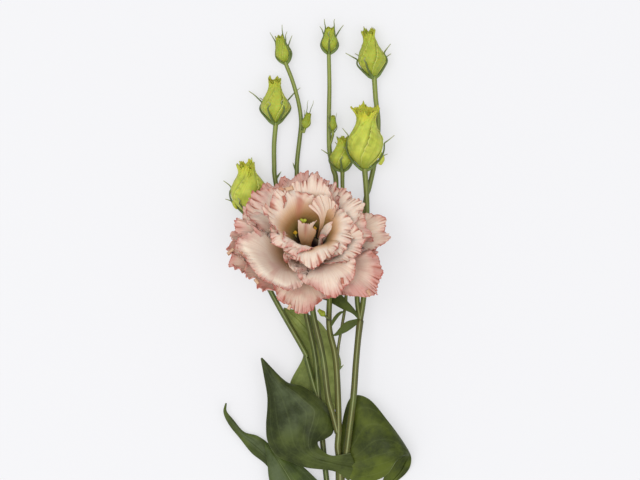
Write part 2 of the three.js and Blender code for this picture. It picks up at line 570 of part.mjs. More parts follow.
// Everything green that holds the plant together
function stems() {
  const lines = Object.values(STEMS).map(({ points, radii, steps, sides }) => (
    stem(points, radii, steps, 0, sides)));
  const sepals = Object.entries(SEPAL_TIPS).flatMap(([name, tips]) => (
    tips.map((tip) => sepal(BUDS[name], tip))));
  const calyx = CALYX_TIPS.map((tip) => sepal(CALYX, tip));
  const bracts = BRACTS.map((ribs) => blade(leafSurface(ribs), 2, 4, LEAF_THICKNESS));
  const scales = SCALES.map(([foot, tip]) => (
    stem([foot, foot.clone().lerp(tip, 0.5), tip], [0.7, 0.5, 0.3], 3, 0, 4)));
  const flatStems = [...lines, knot('high'), knot('low')].map(restOnTable);
  return toGeometry(grow([...flatStems, ...sepals, ...calyx, ...bracts, ...scales]));
}

// Leaves: their ribs from foot to tip, and the stems that each one clasps
const LEAVES = {
  leaf_left: { across: 6, along: 11, clasps: ['main', 'middle', 'right'], ribs: [
    [[14.8, -91, 11], [5, -88, 12], [-5, -87.4, 9.4], [-13, -84.8, 8.3], [-20.5, -81.5, 7.6],
      [-25, -74.5, 7.2], [-25.8, -66.5, 7.2], [-25.2, -58, 7.5], [-25.2, -51.5, 8],
      [-26.5, -43.5, 8.5], [-28.5, -33, 9]],
    [[15.4, -87.4, 11], [5.4, -85.8, 13], [-3, -83.8, 12.4], [-9, -81, 12.5], [-14, -77, 12],
      [-16.5, -71, 11.6], [-18.2, -64, 11.4], [-19.5, -57, 11.2], [-20.8, -51, 11],
      [-23.8, -43.5, 10.6], [-28.2, -32.8, 9]],
    [[15.4, -84.6, 11], [6, -83.4, 13.2], [-0.5, -81.2, 13.8], [-4.5, -77, 15], [-4.5, -71, 16.4],
      [-2.5, -64, 17], [-2, -58.5, 17], [-6.5, -54.2, 16.6], [-11.5, -49.8, 15.4], [-19, -44, 12.4],
      [-28, -32.7, 9]],
    [[14.9, -82.2, 11.4], [6.6, -81.6, 13.2], [1.8, -78.6, 12.4], [-0.2, -74.5, 12.2], [3.5, -73, 11.4],
      [7.5, -69.5, 10.2], [6.8, -61, 9.6], [1.5, -53.8, 10.2], [-7.5, -47, 11], [-16, -44.5, 11],
      [-27.8, -32.8, 9]],
  ] },
  leaf_right: { across: 6, along: 12, clasps: ['main', 'middle', 'right'], ribs: [
    [[11.5, -85.5, 8.2], [17, -94, 8], [26, -94.5, 9], [34, -91, 12], [38.5, -84.5, 14],
      [41.5, -81.6, 11.6], [38.5, -83.5, 5.4], [34, -90, 3], [30.5, -100, 1]],
    [[11.5, -84.8, 8.2], [21, -82.5, 10.6], [28.5, -78, 13.4], [35.5, -76.5, 15], [41, -77.5, 13],
      [45, -80.3, 8.8], [43.8, -84.6, 3.6], [40, -91.2, 1.9], [30.8, -100.3, 1]],
    [[11.5, -84, 8.2], [11.5, -69, 6.6], [16, -53, 6.6], [25, -53, 8], [35, -64.5, 10],
      [43.5, -76.5, 8], [46.6, -83.5, 4.2], [43.5, -91, 1.8], [31, -100.5, 1]],
  ] },
  leaf_low_left: { across: 4, along: 12, clasps: ['main', 'left_low'], ribs: [
    [[9.5, -127.2, 2.6], [-5, -117.5, 3], [-15, -102.5, 2.4], [-24.8, -87.5, 2.4], [-33, -80.5, 2.2],
      [-39, -73, 2.6], [-44.5, -66, 3], [-47.1, -60, 4], [-46.1, -55.5, 4.6]],
    [[9.8, -126.5, 2.6], [-2.5, -112, 4], [-13.5, -98, 3.4], [-24, -83.5, 3.4], [-31.5, -76.5, 3.4],
      [-38, -71.2, 3.6], [-43.5, -64.5, 4], [-46.4, -59.8, 4.6], [-45.9, -55.4, 4.8]],
    [[10, -125.8, 2.6], [0.5, -105.5, 3], [-12, -92, 2.4], [-23, -77.5, 2.4], [-30, -72, 2.2],
      [-37, -69.8, 2.6], [-42.5, -63.5, 3], [-45.7, -59.5, 4], [-45.7, -55.4, 4.6]],
  ] },
  leaf_low_front: { across: 6, along: 9, clasps: ['main', 'left_low'], ribs: [
    [[9.8, -127.5, 4], [-6.5, -124, 5], [-18.5, -111.5, 5], [-24, -95, 5], [-25.2, -85.5, 5],
      [-26.2, -79, 4.6], [-27, -74.5, 4.2]],
    [[10.2, -126.5, 4], [2, -116, 7.5], [-7, -104, 7.4], [-13.5, -94, 6.8], [-19.5, -84.5, 6.2],
      [-24, -78.5, 5.2], [-26.7, -74.2, 4.2]],
    [[11, -125.5, 4], [10.5, -110, 6], [4.5, -98.5, 6], [0, -94, 5.8], [-9.5, -85.5, 5.2],
      [-21, -79, 4.6], [-26.4, -74.3, 4.2]],
  ] },
  leaf_back: { across: 6, along: 11, clasps: ['left_low', 'left_outer', 'left_inner'], ribs: [
    [[1.2, -66, 5.4], [-8, -57, 3], [-14.2, -47, 2.6], [-7.5, -32.5, 4], [-9.5, -25, 3.6],
      [-13.5, -17, 3], [-16.5, -10.5, 2.8], [-17.2, -8.1, 2.8]],
    [[1.5, -65.5, 5.4], [1.5, -56, 3], [-2, -44, 2.8], [2, -33, 2.6], [-2, -23, 2.4], [-8, -15.5, 2.4],
      [-13.5, -10.5, 2.6], [-17, -8, 2.8]],
    [[1.8, -65, 5.4], [10.8, -55, 3.6], [10, -42.5, 3.8], [11.5, -35, 4], [8, -25.5, 3.4], [1, -15, 3],
      [-7.5, -10, 2.8], [-16.8, -8, 2.8]],
  ] },
};

// A leaf blade with its foot fitted round the stem that carries it
function leaf({ across, along: steps, clasps, ribs }) {
  const whole = toSolid(blade(leafSurface(ribs), across, steps, LEAF_THICKNESS));
  const room = grow(clasps.map((name) => {
    const { points, radii, steps: stemSteps, sides } = STEMS[name];
    return stem(points, radii, stemSteps, SEAM, sides);
  }).concat([knot('high', KNOT_SEAM), knot('low', KNOT_SEAM)]));
  return toGeometry(grow([toGeometry(whole.subtract(room))]));
}

function finish(color, roughness) {
  return new THREE.MeshStandardMaterial({ color, roughness, metalness: 0 });
}

const GREEN_STEM = finish(0x5f7a37, 0.55);
const GREEN_LEAF = finish(0x47602f, 0.5);
const YELLOW_GREEN = finish(0xb9c43f, 0.6);
const BLUSH = finish(0xe3b8a6, 0.7);
const STIGMA_YELLOW = finish(0xc9c352, 0.6);

const plant = new THREE.Group();
plant.position.set(-BOX_MIDDLE[0], -BOX_MIDDLE[1], 0);

function place(name, geometry, material) {
  const mesh = new THREE.Mesh(geometry, material);
  mesh.name = name;
  plant.add(mesh);
}

place('stems', stems(), GREEN_STEM);
Object.entries(LEAVES).forEach(([name, shape]) => place(name, leaf(shape), GREEN_LEAF));
Object.entries(BUDS).forEach(([name, bud], i) => (
  place(name, restOnTable(budCorolla(bud, i)), YELLOW_GREEN)));
place('bloom_petals', bloomPetals(), BLUSH);
place('pistil', pistil(), STIGMA_YELLOW);

export default plant;
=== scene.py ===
import math
from collections import namedtuple

import bmesh
import bpy
from bpy.props import FloatProperty, FloatVectorProperty, IntProperty, PointerProperty
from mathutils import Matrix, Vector, noise


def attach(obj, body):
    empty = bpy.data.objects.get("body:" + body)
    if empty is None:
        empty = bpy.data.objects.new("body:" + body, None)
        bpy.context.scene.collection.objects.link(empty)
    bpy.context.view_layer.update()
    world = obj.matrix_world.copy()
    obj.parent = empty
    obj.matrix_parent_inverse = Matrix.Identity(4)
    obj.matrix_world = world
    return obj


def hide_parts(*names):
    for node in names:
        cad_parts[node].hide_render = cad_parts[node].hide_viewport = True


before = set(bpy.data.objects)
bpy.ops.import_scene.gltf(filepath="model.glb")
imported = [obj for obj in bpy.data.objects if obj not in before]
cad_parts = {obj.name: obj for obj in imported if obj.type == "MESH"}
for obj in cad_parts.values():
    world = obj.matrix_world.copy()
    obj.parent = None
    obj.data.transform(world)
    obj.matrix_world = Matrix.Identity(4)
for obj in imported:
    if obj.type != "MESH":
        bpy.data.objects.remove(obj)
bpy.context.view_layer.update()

bl_info = {
    "name": "Lisianthus Flower",
    "version": (1, 0, 0),
    "blender": (4, 5, 0),
    "location": "3D View > Sidebar > Lisianthus",
    "description": "A cut lisianthus lying flat: ruffled bloom, buds, branching stems and clasping leaves",
    "category": "Add Mesh",
}

# Places and sizes are in millimetres, as the plant is drawn: +Y along the plant, +Z up from the table.
# metres() moves a drawn point to the part's own frame, whose origin is the middle of its footprint.
MM = 0.001
DRAWN_MIDDLE = Vector((-0.455, -1.43, 0.0))
# Points of a mesh that are nearer to each other than this are merged
WELD = 0.001 * MM

# The bloom's root, and how its axis leans
BLOOM_ROOT = Vector((-3.5, 15.0, 15.0))
BLOOM_TILT = math.radians(35)
BLOOM_SWAY = math.radians(-3)

# The main stem's radius, how deep it is flattened underneath, and the height of its axis as it lies
MAIN_STEM_RADIUS = 2.3
FLAT_DEPTH = 0.45
LYING_HEIGHT = MAIN_STEM_RADIUS - FLAT_DEPTH
# The two leafy nodes and the forks of the thinner stems
LOW_NODE = (10, -126.5, 2.6)
HIGH_NODE = (11, -84.5, 9)
LEFT_FORK = (0.5, -54, 6.8)
UPPER_FORK = (-9.5, 10, 3.6)
RIGHT_FORK = (21, -14, 10.4)
# Swellings at the nodes: the middle and the radius of each, how far they run and rise to an end, and
# their radii as shares of the largest
KNOTS = [(HIGH_NODE, 2.6), (LOW_NODE, 2.7)]
KNOT_RUN = 3.4
KNOT_RISE = 0.4
KNOT_SHARES = [0.78, 1, 0.6]
# The straight end of a stem below its bud, and how many rings a tube has from one point to the next
NECK_LENGTH = 2
SPAN_STEPS = 6
# Ridges round a stem
RIDGES = 4
# Where along the plant the stems turn to their paler green
PALE_FROM = 20
PALE_TO = 80

# Leaves stay TABLE_CLEARANCE above the table, and everything else at least LOWEST
TABLE_CLEARANCE = 0.42
LOWEST = 0.25


def metres(point):
    """A drawn point, kept off the table, in metres in the part's own frame"""
    x, y, z = point
    return (Vector((x, y, max(z, LOWEST))) - DRAWN_MIDDLE) * MM


def smooth(low, high, x):
    """0 below low, 1 above high, and a soft step from one to the other"""
    t = min(max((x - low) / (high - low), 0.0), 1.0)
    return t * t * (3 - 2 * t)


def hash01(n):
    """A fixed pseudo-random number from 0 to 1"""
    s = math.sin(n * 12.9898) * 43758.5453
    return s - math.floor(s)


def ragged_line(x, seed, layers):
    """How far a ragged edge leaves its line at x. Each layer is how often it swings, how far, and the
    slice of noise that it follows"""
    return sum(far * noise.noise((x * often, seed, depth)) for often, far, depth in layers)


def run(values, t):
    """Smooth value at t (0 to 1) through evenly spaced values, numbers or points"""
    place = min(max(t, 0.0), 1.0) * (len(values) - 1)
    i = min(int(place), len(values) - 2)
    w = place - i
    b, c = values[i], values[i + 1]
    a = values[i - 1] if i > 0 else b * 2 - c
    d = values[i + 2] if i + 2 < len(values) else c * 2 - b
    return (b * (2 * w ** 3 - 3 * w ** 2 + 1) + (c - a) * 0.5 * (w ** 3 - 2 * w ** 2 + w)
            + c * (3 * w ** 2 - 2 * w ** 3) + (d - b) * 0.5 * (w ** 3 - w ** 2))


def tint(red, green, blue):
    """A colour as seen on a screen, 0 to 255, as the linear values that shaders take"""
    return tuple(((c / 255 + 0.055) / 1.055) ** 2.4 for c in (red, green, blue))


def axis_frame(axis):
    """A growing direction, a direction to its side and one upwards"""
    forward = axis.normalized()
    side = forward.cross(Vector((0, 0, 1))).normalized()
    return forward, side, side.cross(forward).normalized()


def bloom_frame():
    """The bloom's own directions: to its right, up the plant, and along its axis"""
    axis = Vector((math.sin(BLOOM_SWAY), math.sin(BLOOM_TILT), math.cos(BLOOM_TILT))).normalized()
    right = (Vector((1, 0, 0)) - axis.x * axis).normalized()
    return right, axis.cross(right), axis


def in_bloom(x, y, h):
    """A point given in the bloom's own frame: to its right, up the plant, and along its axis"""
    right, up, axis = bloom_frame()
    return BLOOM_ROOT + right * x + up * y + axis * h


# Petals of the bloom. An open petal's curve has two inner points, as shares of its reach and height
ROLLED = [(0.34, 0.85), (0.70, 1.45)]
LIFTED = [(0.45, 0.12), (0.80, 0.75)]
SPREAD = [(0.38, 0.55), (0.70, 1.20)]
FULL = [(0.35, 0.68), (0.65, 1.18)]
# Where a petal's curve starts: its distance from the bloom's axis, and its height
OPEN_FOOT = (3.5, 2)
CUP_FOOT = (2.5, 3)
# What an open petal and a petal of the inner cup have where their line in WHORLS says nothing else
PLAIN_OPEN = dict(foot_bend=0.1, bend=0.01, claw=0.22, narrow=1.2, flare=-0.08, crown=0.2, corner=6,
                  frills=1, opens=(0.25, 0.6), ripe=1)
PLAIN_CUP = dict(PLAIN_OPEN, foot_bend=0.13, opens=(0.5, 0.85), ripe=1.05)


def open_petal(azimuth, reach, height, width, ruffle, waves, bends, **extra):
    """A petal that opens wide, along a curve from the tube to its rim"""
    (near, near_up), (far, far_up) = bends
    path = [OPEN_FOOT, (reach * near, height * near_up), (reach * far, height * far_up), (reach, height)]
    return dict(PLAIN_OPEN, azimuth=azimuth, path=path, width=width, ruffle=ruffle, waves=waves, **extra)


def cup_petal(azimuth, reach, height, lip, width, ruffle, waves, bend, **extra):
    """A petal of the inner cup: it stands up to a lip, then turns outwards"""
    out, up = lip
    path = [CUP_FOOT, (out * 0.5, up * 0.55), (out * 0.9, up * 1.22), (reach, height)]
    return dict(PLAIN_CUP, azimuth=azimuth, path=path, width=width, ruffle=ruffle, waves=waves, bend=bend,
                **extra)


# Each petal's azimuth round the bloom's axis in degrees, the reach and height of its rim, its half
# width, and the height and number of its slow waves. foot_bend and bend are how strongly its foot and
# its rim curve across, claw how wide its foot is, narrow how late it widens, flare how much its rim
# widens, crown how far its middle stands ahead of its corners, and corner how square these are: 2 makes
# an ellipse, and 12 nearly a rectangle. frills is how strong the flutes are, and opens where along the
# petal they grow. tone is how much it blushes, deep is where on the ramp of colours it begins and how
# late it changes, ripe where it ends, past 1 with a painted highlight in its middle, and fold a line
# of painted rose-brown shade along a groove
WHORLS = {
    "outer_petals": [
        open_petal(263, 38.5, 12, 15.5, 1.2, 2.2, ROLLED, corner=4, tone=0.55, narrow=2.5),
        open_petal(320, 43, 13, 16, 1.4, 2.0, ROLLED, corner=4, tone=1),
        open_petal(13, 40, 14, 12, 0.7, 1.0, SPREAD, crown=0.15, flare=0, tone=0.35),
        open_petal(352, 33.5, 12.6, 12, 1.4, 2.0, SPREAD, tone=1),
        open_petal(214, 35, 15, 15, 1.4, 2.4, LIFTED, frills=0.65),
        open_petal(186, 40.5, 14, 12, 1.6, 2.4, LIFTED, frills=0.65, tone=0.6),
        open_petal(173, 38.5, 17, 13, 1.8, 2.2, LIFTED, frills=0.8, tone=0.45),
        open_petal(157, 37.5, 20, 14.5, 1.5, 2.2, SPREAD, tone=0.45, narrow=3),
        open_petal(123, 38, 22, 15, 1.5, 2.2, SPREAD, frills=0.85, tone=0.8),
        open_petal(94, 35.5, 25, 14.5, 2.2, 1.6, SPREAD, frills=0.7, tone=0.8),
        open_petal(49, 31.5, 23, 15, 1.5, 2.2, SPREAD, tone=0.3),
    ],
    "middle_petals": [
        # this big petal lies in shade under the cup: its ramp runs past 1, into a painted highlight in its
        # middle
        open_petal(220, 33.7, 23.8, 22, 0.5, 1.4, [(0.44, 0.6), (0.8, 0.98)], bend=0.005, crown=0.1, claw=0.5,
                   frills=0.7, ripe=1.45, tone=0.5, deep=(0.3, 1.6)),
        open_petal(294, 36, 19.3, 15.5, 0.9, 2.2, [(0.36, 0.95), (0.68, 1.6)], bend=0, claw=0.4, corner=4,
                   tone=0.5),
        open_petal(2, 30.5, 24, 13.5, 1.4, 2.0, FULL),
        open_petal(333, 28, 25, 14, 1.0, 2.0, [(0.40, 0.65), (0.72, 1.15)], bend=0.03, tone=0.1),
        open_petal(141, 36, 25, 14, 1.2, 2.2, FULL, bend=0.02, tone=0.6),
        open_petal(76, 30, 28, 12.5, 1.3, 2.2, FULL, bend=0.03, tone=0.5),
        open_petal(38, 30.5, 26, 13.5, 1.3, 2.2, FULL, bend=0.02, tone=0.2),
        open_petal(163, 31, 26, 7.2, 1.0, 2.2, [(0.40, 0.40), (0.72, 1.05)], bend=0.02, narrow=2.5,
                   frills=0.7, tone=0.6),
        open_petal(254, 22, 23, 6.5, 0.8, 1.6, [(0.40, 0.50), (0.75, 1.10)], bend=0.03, frills=0.6, tone=0.1),
    ],
    "inner_petals": [
        cup_petal(86, 26, 35, (14.5, 29.5), 13.5, 0.9, 1.8, 0.02, fold=[(0.34, 0.74), (0.56, 0.46)]),
        cup_petal(138, 24, 33, (12, 28.5), 16, 0.8, 2.0, 0.055, fold=[(-0.6, 0.76), (-0.2, 0.5)]),
        cup_petal(219, 18.8, 31, (12, 30), 14, 1.1, 2.2, 0),
        cup_petal(281, 22.4, 28.2, (12, 32), 14, 1.3, 2.8, -0.02),
        cup_petal(350, 22, 25, (13.5, 29), 16.5, 1.1, 2.4, 0),
    ],
    "small_petals": [
        cup_petal(242, 15.5, 30, (11, 30.5), 9, 0.9, 2.4, 0.02),
        cup_petal(20, 13.4, 25.5, (9.5, 21.5), 3.1, 0.5, 1.2, 0.06, narrow=4, corner=3),
        cup_petal(350, 8, 23, (7, 20), 2.2, 0.7, 2.0, 0.1, frills=3),
        cup_petal(231, 18.5, 23, (10, 20), 4, 0.9, 1.6, 0.2, frills=1.3, tone=0.2),
        cup_petal(246, 16, 24.5, (10, 22), 3.6, 0.9, 1.6, 0.22, frills=1.3, tone=0.2),
        cup_petal(262, 17.5, 21, (10, 20), 4, 0.9, 1.6, 0.2, frills=1.3, tone=0.2),
    ],
}
# Two small petals that stand in the throat: ribs from foot to tip, how many pleats they have and how
# deep, and where on the ramp of colours they begin and end
THROAT_PETALS = {
    "heart_petal": ([
        [(-5.2, 17, 22), (-8.4, 24.4, 27.5), (-9.7, 29.2, 30), (-9.9, 36.2, 34)],
        [(-4.8, 17, 21.4), (-6.6, 24, 26.6), (-7.2, 29.4, 29.4), (-7, 34.4, 32.6)],
        [(-4.4, 17, 21.4), (-4.8, 24, 26.6), (-4.4, 29.6, 29.8), (-3.8, 34.2, 33)],
        [(-4, 17, 22), (-3.2, 24.4, 27.5), (-0.9, 30.2, 30.6), (-2.6, 32.4, 31.6), (-0.6, 35.8, 34.4)],
    ], 0.8, 0.3, (0.3, 0.72)),
    "fan_petal": ([
        [(-0.5, 27, 24.5), (0.8, 33, 29.5), (0.2, 38, 32.5), (-4.9, 42.6, 34.5)],
        [(0.3, 26.8, 24), (2, 33, 29), (1.5, 40, 32.5), (-2.2, 46.4, 35.5)],
        [(1, 26.6, 23.8), (3, 33, 28.8), (3.6, 41, 32.5), (1.2, 48.2, 36)],
        [(1.7, 26.8, 24), (4, 33, 29), (6, 41, 32.5), (5.6, 47.2, 36)],
        [(2.4, 27, 24.5), (5, 33, 29.6), (8, 38.6, 32.5), (10, 42.8, 35)],
    ], 2.6, 0.45, (0.34, 0.85)),
}
# Faces across and along such a petal, how much closer they lie towards its rim, and its blush
THROAT_GRID = (70, 60)
THROAT_CROWD = 1.2
THROAT_BLUSH = 0.3
# Dry stretches of the rims, rolled into small scrolls: the middle of each, its heading in degrees, its
# length and radius, and how rosy it is
RIM_CURLS = [
    ((-14.2, 51.2, 32.8), 14, 4.4, 1.2, 0.1),
    ((-18, 51.2, 33.2), -24, 3.0, 0.9, 0.4),
    ((-16.6, 46.2, 34.8), -75, 3.6, 0.9, 0.8),
    ((-43, 20.3, 26.4), 40, 4.6, 1.0, 0.1),
    ((-30.1, 5.6, 39.6), -50, 3.2, 0.9, 0.1),
    ((-13.9, -6.8, 47.8), 65, 3.0, 0.8, 0.1),
    ((24.9, 0, 46.8), -60, 3.8, 0.9, 0.3),
    ((11.9, 6, 51), -80, 3.4, 0.8, 0.8),
]
# Faces along and round a scroll, and where on the ramp of colours it begins and ends
CURL_GRID = (16, 20)
CURL_SHADES = (0.48, 0.62)
# How strongly each whorl blushes, least and most
BLUSH = {"outer_petals": (0.35, 0.9), "middle_petals": (0.2, 0.7), "inner_petals": (0.1, 0.5),
         "small_petals": (0.4, 0.8)}
# Where on the petals' ramp of colours each whorl begins, and how long it stays near that shade. The dark
# olive and brown at the start of the ramp are partly the petals' own colour and partly painted shade deep
# in the bloom
DEPTH = {"outer_petals": (0.42, 1), "middle_petals": (0.36, 1), "inner_petals": (0.11, 2),
         "small_petals": (0.5, 1)}
# The end of the petals' ramp of colours: past 1 the ramp rises to a painted highlight, palest at 1.15,
# and falls back to cream, so a petal whose ramp ends past 1 is palest just before its rim, where it lies
# in shade
LAST_SHADE = 1.4
# How much closer the faces of a petal lie towards its rim
RIM_CROWD = 1.35
# A petal of less than this half width has half the faces along it, and one below the other has
# weaker flutes
SMALL_PETAL = 6
FULL_WIDTH = 9
# Flutes along a petal's rim: the length of one, its height and how far along the petal it starts
FLUTES = [(9.0, 1.2, 0.45), (3.4, 1.4, 0.64), (1.7, 0.8, 0.78)]
# How unevenly the flutes are spaced, how low the lowest are and how much taller the others grow
FLUTE_DRIFT = 1.1
FLUTE_LEAST = 0.35
FLUTE_RANGE = 2.2
# Flutes shorter than COARSE notch the rim, by this share of their length
COARSE = 6
NOTCH_SHARE = 0.22
# The ragged edge of a petal, as layers of ragged_line()
RIM_TEETH = [(0.3, 0.8, 1), (1, 0.6, 2), (2, 0.5, 3)]
# How far along a petal its frilled rim starts, and the point that its veins and flutes fan out from
WAIST = 0.4
FOCUS = 0.3
# How wide the painted shade along a petal's fold is, as a share of the petal
FOLD_WIDTH = 0.09
# A petal bends across at least this much, which is nearly flat
LEAST_BEND = 1e-4
# The corolla's tube, as a closed outline of radius and height, and its faces round and along that
FUNNEL = [(1.8, 0.6), (4, 0.9), (6.5, 3.5), (8, 8), (6.2, 13), (4.4, 13), (3.2, 6), (2.3, 2.2)]
FUNNEL_GRID = (48, 40)
# The anthers: the middle of each, half the length of one, and its radii
ANTHERS = [(-6.6, 3.3, 21), (-5.6, 7.2, 18), (2.9, 6.2, 20), (6, 4, 16), (5.4, -0.5, 15)]
ANTHER_REACH = 1.8
ANTHER_RADII = [0.15, 1.0, 0.15]
# Their filaments: the radius and the height of the ring on which they stand, and the radii of one
FILAMENT_RING = 4.2
FILAMENT_FOOT = 4
FILAMENT_RADII = [0.5, 0.45, 0.4]
# The pistil's middle line and its radii, which way the two lobes of its stigma point, and their radii
PISTIL = [(0, 0, 0.6), (0, 0.1, 4), (-0.4, 1.6, 12), (-1.3, 4.2, 19), (-2.4, 7, 25)]
PISTIL_RADII = [1, 1.4, 0.8, 0.65, 0.65]
STIGMA_LOBES = [(-1.2, 0.4), (1.1, 0.2)]
LOBE_RADII = [0.5, 0.85, 0.3]

# Buds, from the base of the corolla to its tip. A form's shape is in shares of the bud's width, pleat
# and ruffle say how deep its pleats and its mouth's frills are, and turn how far its petals wind round
Form = namedtuple("Form", "shape pleat turn ruffle")
Bud = namedtuple("Bud", "base tip width form")
CLOSED = Form([0.25, 0.77, 1.0, 0.9, 0.7, 0.6, 0.5], 0.05, 1.3, 0.03)
OPENING = Form([0.17, 0.64, 1.0, 0.84, 0.56, 0.41, 0.42], 0.07, 1.3, 0.05)
ROUND = Form([0.3, 0.78, 1.0, 0.84, 0.58, 0.41, 0.42], 0.07, 1.3, 0.05)
NARROW = Form([0.14, 0.6, 0.96, 1.0, 0.72, 0.47, 0.42], 0.07, 1.4, 0.06)
HALF_OPEN = Form([0.14, 0.72, 1.0, 0.96, 0.66, 0.55, 0.72], 0.07, 1.2, 0.09)
# The petals inside the mouth of a large bud
INNER = Form([0.9, 1.0, 0.92, 0.8, 0.84, 0.95, 1.0], 0.1, 1.5, 0.10)
BUDS = {
    "bud_1": Bud((-16.2, 115, 5), (-19.4, 127.8, 5), 7, CLOSED),
    "bud_2": Bud((5.5, 120, 5.5), (6, 132, 5.5), 7.9, CLOSED),
    "bud_3": Bud((27.9, 107.8, 5.6), (25, 130.4, 7.4), 13.4, OPENING),
    "bud_4": Bud((-21.2, 84.8, 5.4), (-21.6, 106.4, 7.2), 13.7, OPENING),
    "bud_5": Bud((-6.6, 81.8, 5.2), (-4.6, 89.3, 5.6), 4.2, CLOSED),
    "bud_6": Bud((7.4, 80.6, 6.6), (7.3, 88, 7), 3.6, CLOSED),
    "bud_7": Bud((12.2, 61.4, 6), (12.2, 77.2, 6.2), 11.8, ROUND),
    "bud_8": Bud((23.4, 61.6, 11.5), (23.9, 91.6, 15.5), 16.6, HALF_OPEN),
    "bud_9": Bud((-33.2, 38.5, 7), (-36, 64.5, 9.5), 17.2, NARROW),
    "bud_10": Bud((3.4, -11.6, 12.6), (0.2, -8.8, 12.8), 2.6, CLOSED),
}
# By a bud's width: how green it is, and the faces across and along each of its petals
BUD_GRADES = [(15, 0.1, 36, 44), (10, 0.4, 36, 44), (5, 0.6, 24, 32), (0, 0.8, 14, 16)]
# How much closer the faces of a bud's petal lie towards its tip
BUD_CROWD = 1.2
# A bud wider than this has inner petals in its mouth, which begin and end at these shares of its length
# and on the buds' ramp of colours
LARGE_BUD = 10
INNER_SPAN = (0.5, 0.96)
INNER_SHADES = (0.9, 1.0)
# The tips of the sepals round each bud
SEPAL_TIPS = {
    "bud_1": [(-17.8, 133.4, 6), (-24, 129.5, 5), (-12.9, 128, 5), (-15, 130, 8.6), (-21, 127, 2.2)],
    "bud_2": [(3.3, 136.2, 7), (8.4, 136.2, 6.5), (0.8, 132.7, 4), (12.8, 133.3, 5), (6.2, 130, 9.8)],
    "bud_3": [(13.8, 119.3, 6), (24.3, 117, 13), (36.2, 123.8, 7), (36.8, 119, 3), (18, 119, 2.2)],
    "bud_4": [(-34.6, 100.2, 6), (-25.7, 94.8, 13), (-8.8, 101.8, 6), (-16.5, 96, 12), (-29.5, 97, 2.4)],
    "bud_5": [(-4.7, 95.7, 4), (-2.5, 95.7, 3.6), (-7, 91, 4)],
    "bud_6": [(6.5, 91.2, 8), (9.2, 89.5, 6.4), (5, 89, 5.6)],
    "bud_7": [(1.7, 71.1, 6), (17.5, 74.5, 2.2), (11, 68, 11.8), (15.8, 69, 10.4), (8, 75, 1.6)],
    "bud_8": [(12.5, 72.1, 14), (12.2, 81.7, 14), (34.5, 68.6, 13), (38, 78.2, 14), (24, 78, 2.6)],
    "bud_9": [(-47.2, 55.4, 8), (-46.3, 46.3, 7), (-40, 47, 14.5), (-26.4, 54, 3)],
}
# Loose flaps that hang from two of the buds: faces across and along one, and ribs from foot to tip
FLAP_GRID = (12, 24)
FLAPS = {
    "bud_8": [[(27, 70.5, 14.5), (29.6, 67.6, 13.6), (30.6, 65.4, 12.8), (30, 63.8, 12.2)],
              [(28, 71, 14.4), (31, 68.4, 13.4), (31.8, 65.6, 13), (30.8, 63.4, 12.4)],
              [(29, 71.5, 13.6), (32.2, 69, 12.6), (33, 66, 12), (31.6, 63.4, 11.8)]],
    "bud_9": [[(-41.2, 47.5, 9), (-42.6, 45, 8.2), (-42.2, 43, 7.6), (-41, 41.6, 7)],
              [(-40.6, 47.8, 9.6), (-41.6, 45.2, 9), (-41.4, 43, 8.2), (-40.6, 41.4, 7.4)],
              [(-40, 48, 9), (-40.8, 45.4, 8.4), (-40.6, 43.2, 7.6), (-40.2, 41.4, 7)]],
}
# Places along a bud through which its solid core runs, the core's width as a share of the bud's, and
# how green it is
CORE = [0.02, 0.2, 0.4, 0.6, 0.76]
CORE_SHARE = 0.8
CORE_GREEN = 0.8
# The petals wound round each other in a bud, and half the arc that one covers
WOUND = 5
WOUND_ARC = math.radians(60)
# The teeth of a petal's free edge and the ragged rim of its mouth, as layers of ragged_line()
EDGE_TEETH = [(14, 0.05, 3), (40, 0.1, 4)]
MOUTH_TEETH = [(4, 0.035, 1), (12, 0.06, 2)]
# Where, across a bud's petal, the free edge of its neighbour lies over it
COVERED = 0.4
# How deeply the mouth of a bud is cut into lobes, as a share of its length
LOBE_DEPTH = 0.11
# How much shorter the lobes that face up are
FACE_DOWN = 0.045
# The bloom's calyx: what its sepals stand round, their azimuths, and how far out and up their tips are
CALYX = Bud(in_bloom(0, 0, 0), in_bloom(0, 0, 6), 9, Form([0, 0], 0, 0, 0))
CALYX_AZIMUTHS = [20, 92, 164, 236, 308]
CALYX_REACH = 15
CALYX_HEIGHT = -2.6


def neck(name):
    """The last stretch of a stem, straight into its bud"""
    base, tip = Vector(BUDS[name].base), Vector(BUDS[name].tip)
    return [base - (tip - base).normalized() * NECK_LENGTH, base]


# Sepals: how far below its bud one starts and how far from the bud's axis, how far it stays off the
# bud, how many points a middle line has, and half widths from foot to tip
SEPAL_DROP = 1
SEPAL_FOOT = 0.8
SEPAL_GAP = 0.25
SEPAL_POINTS = 15
SEPAL_RADII = [0.75, 0.6, 0.48, 0.4, 0.34, 0.18]

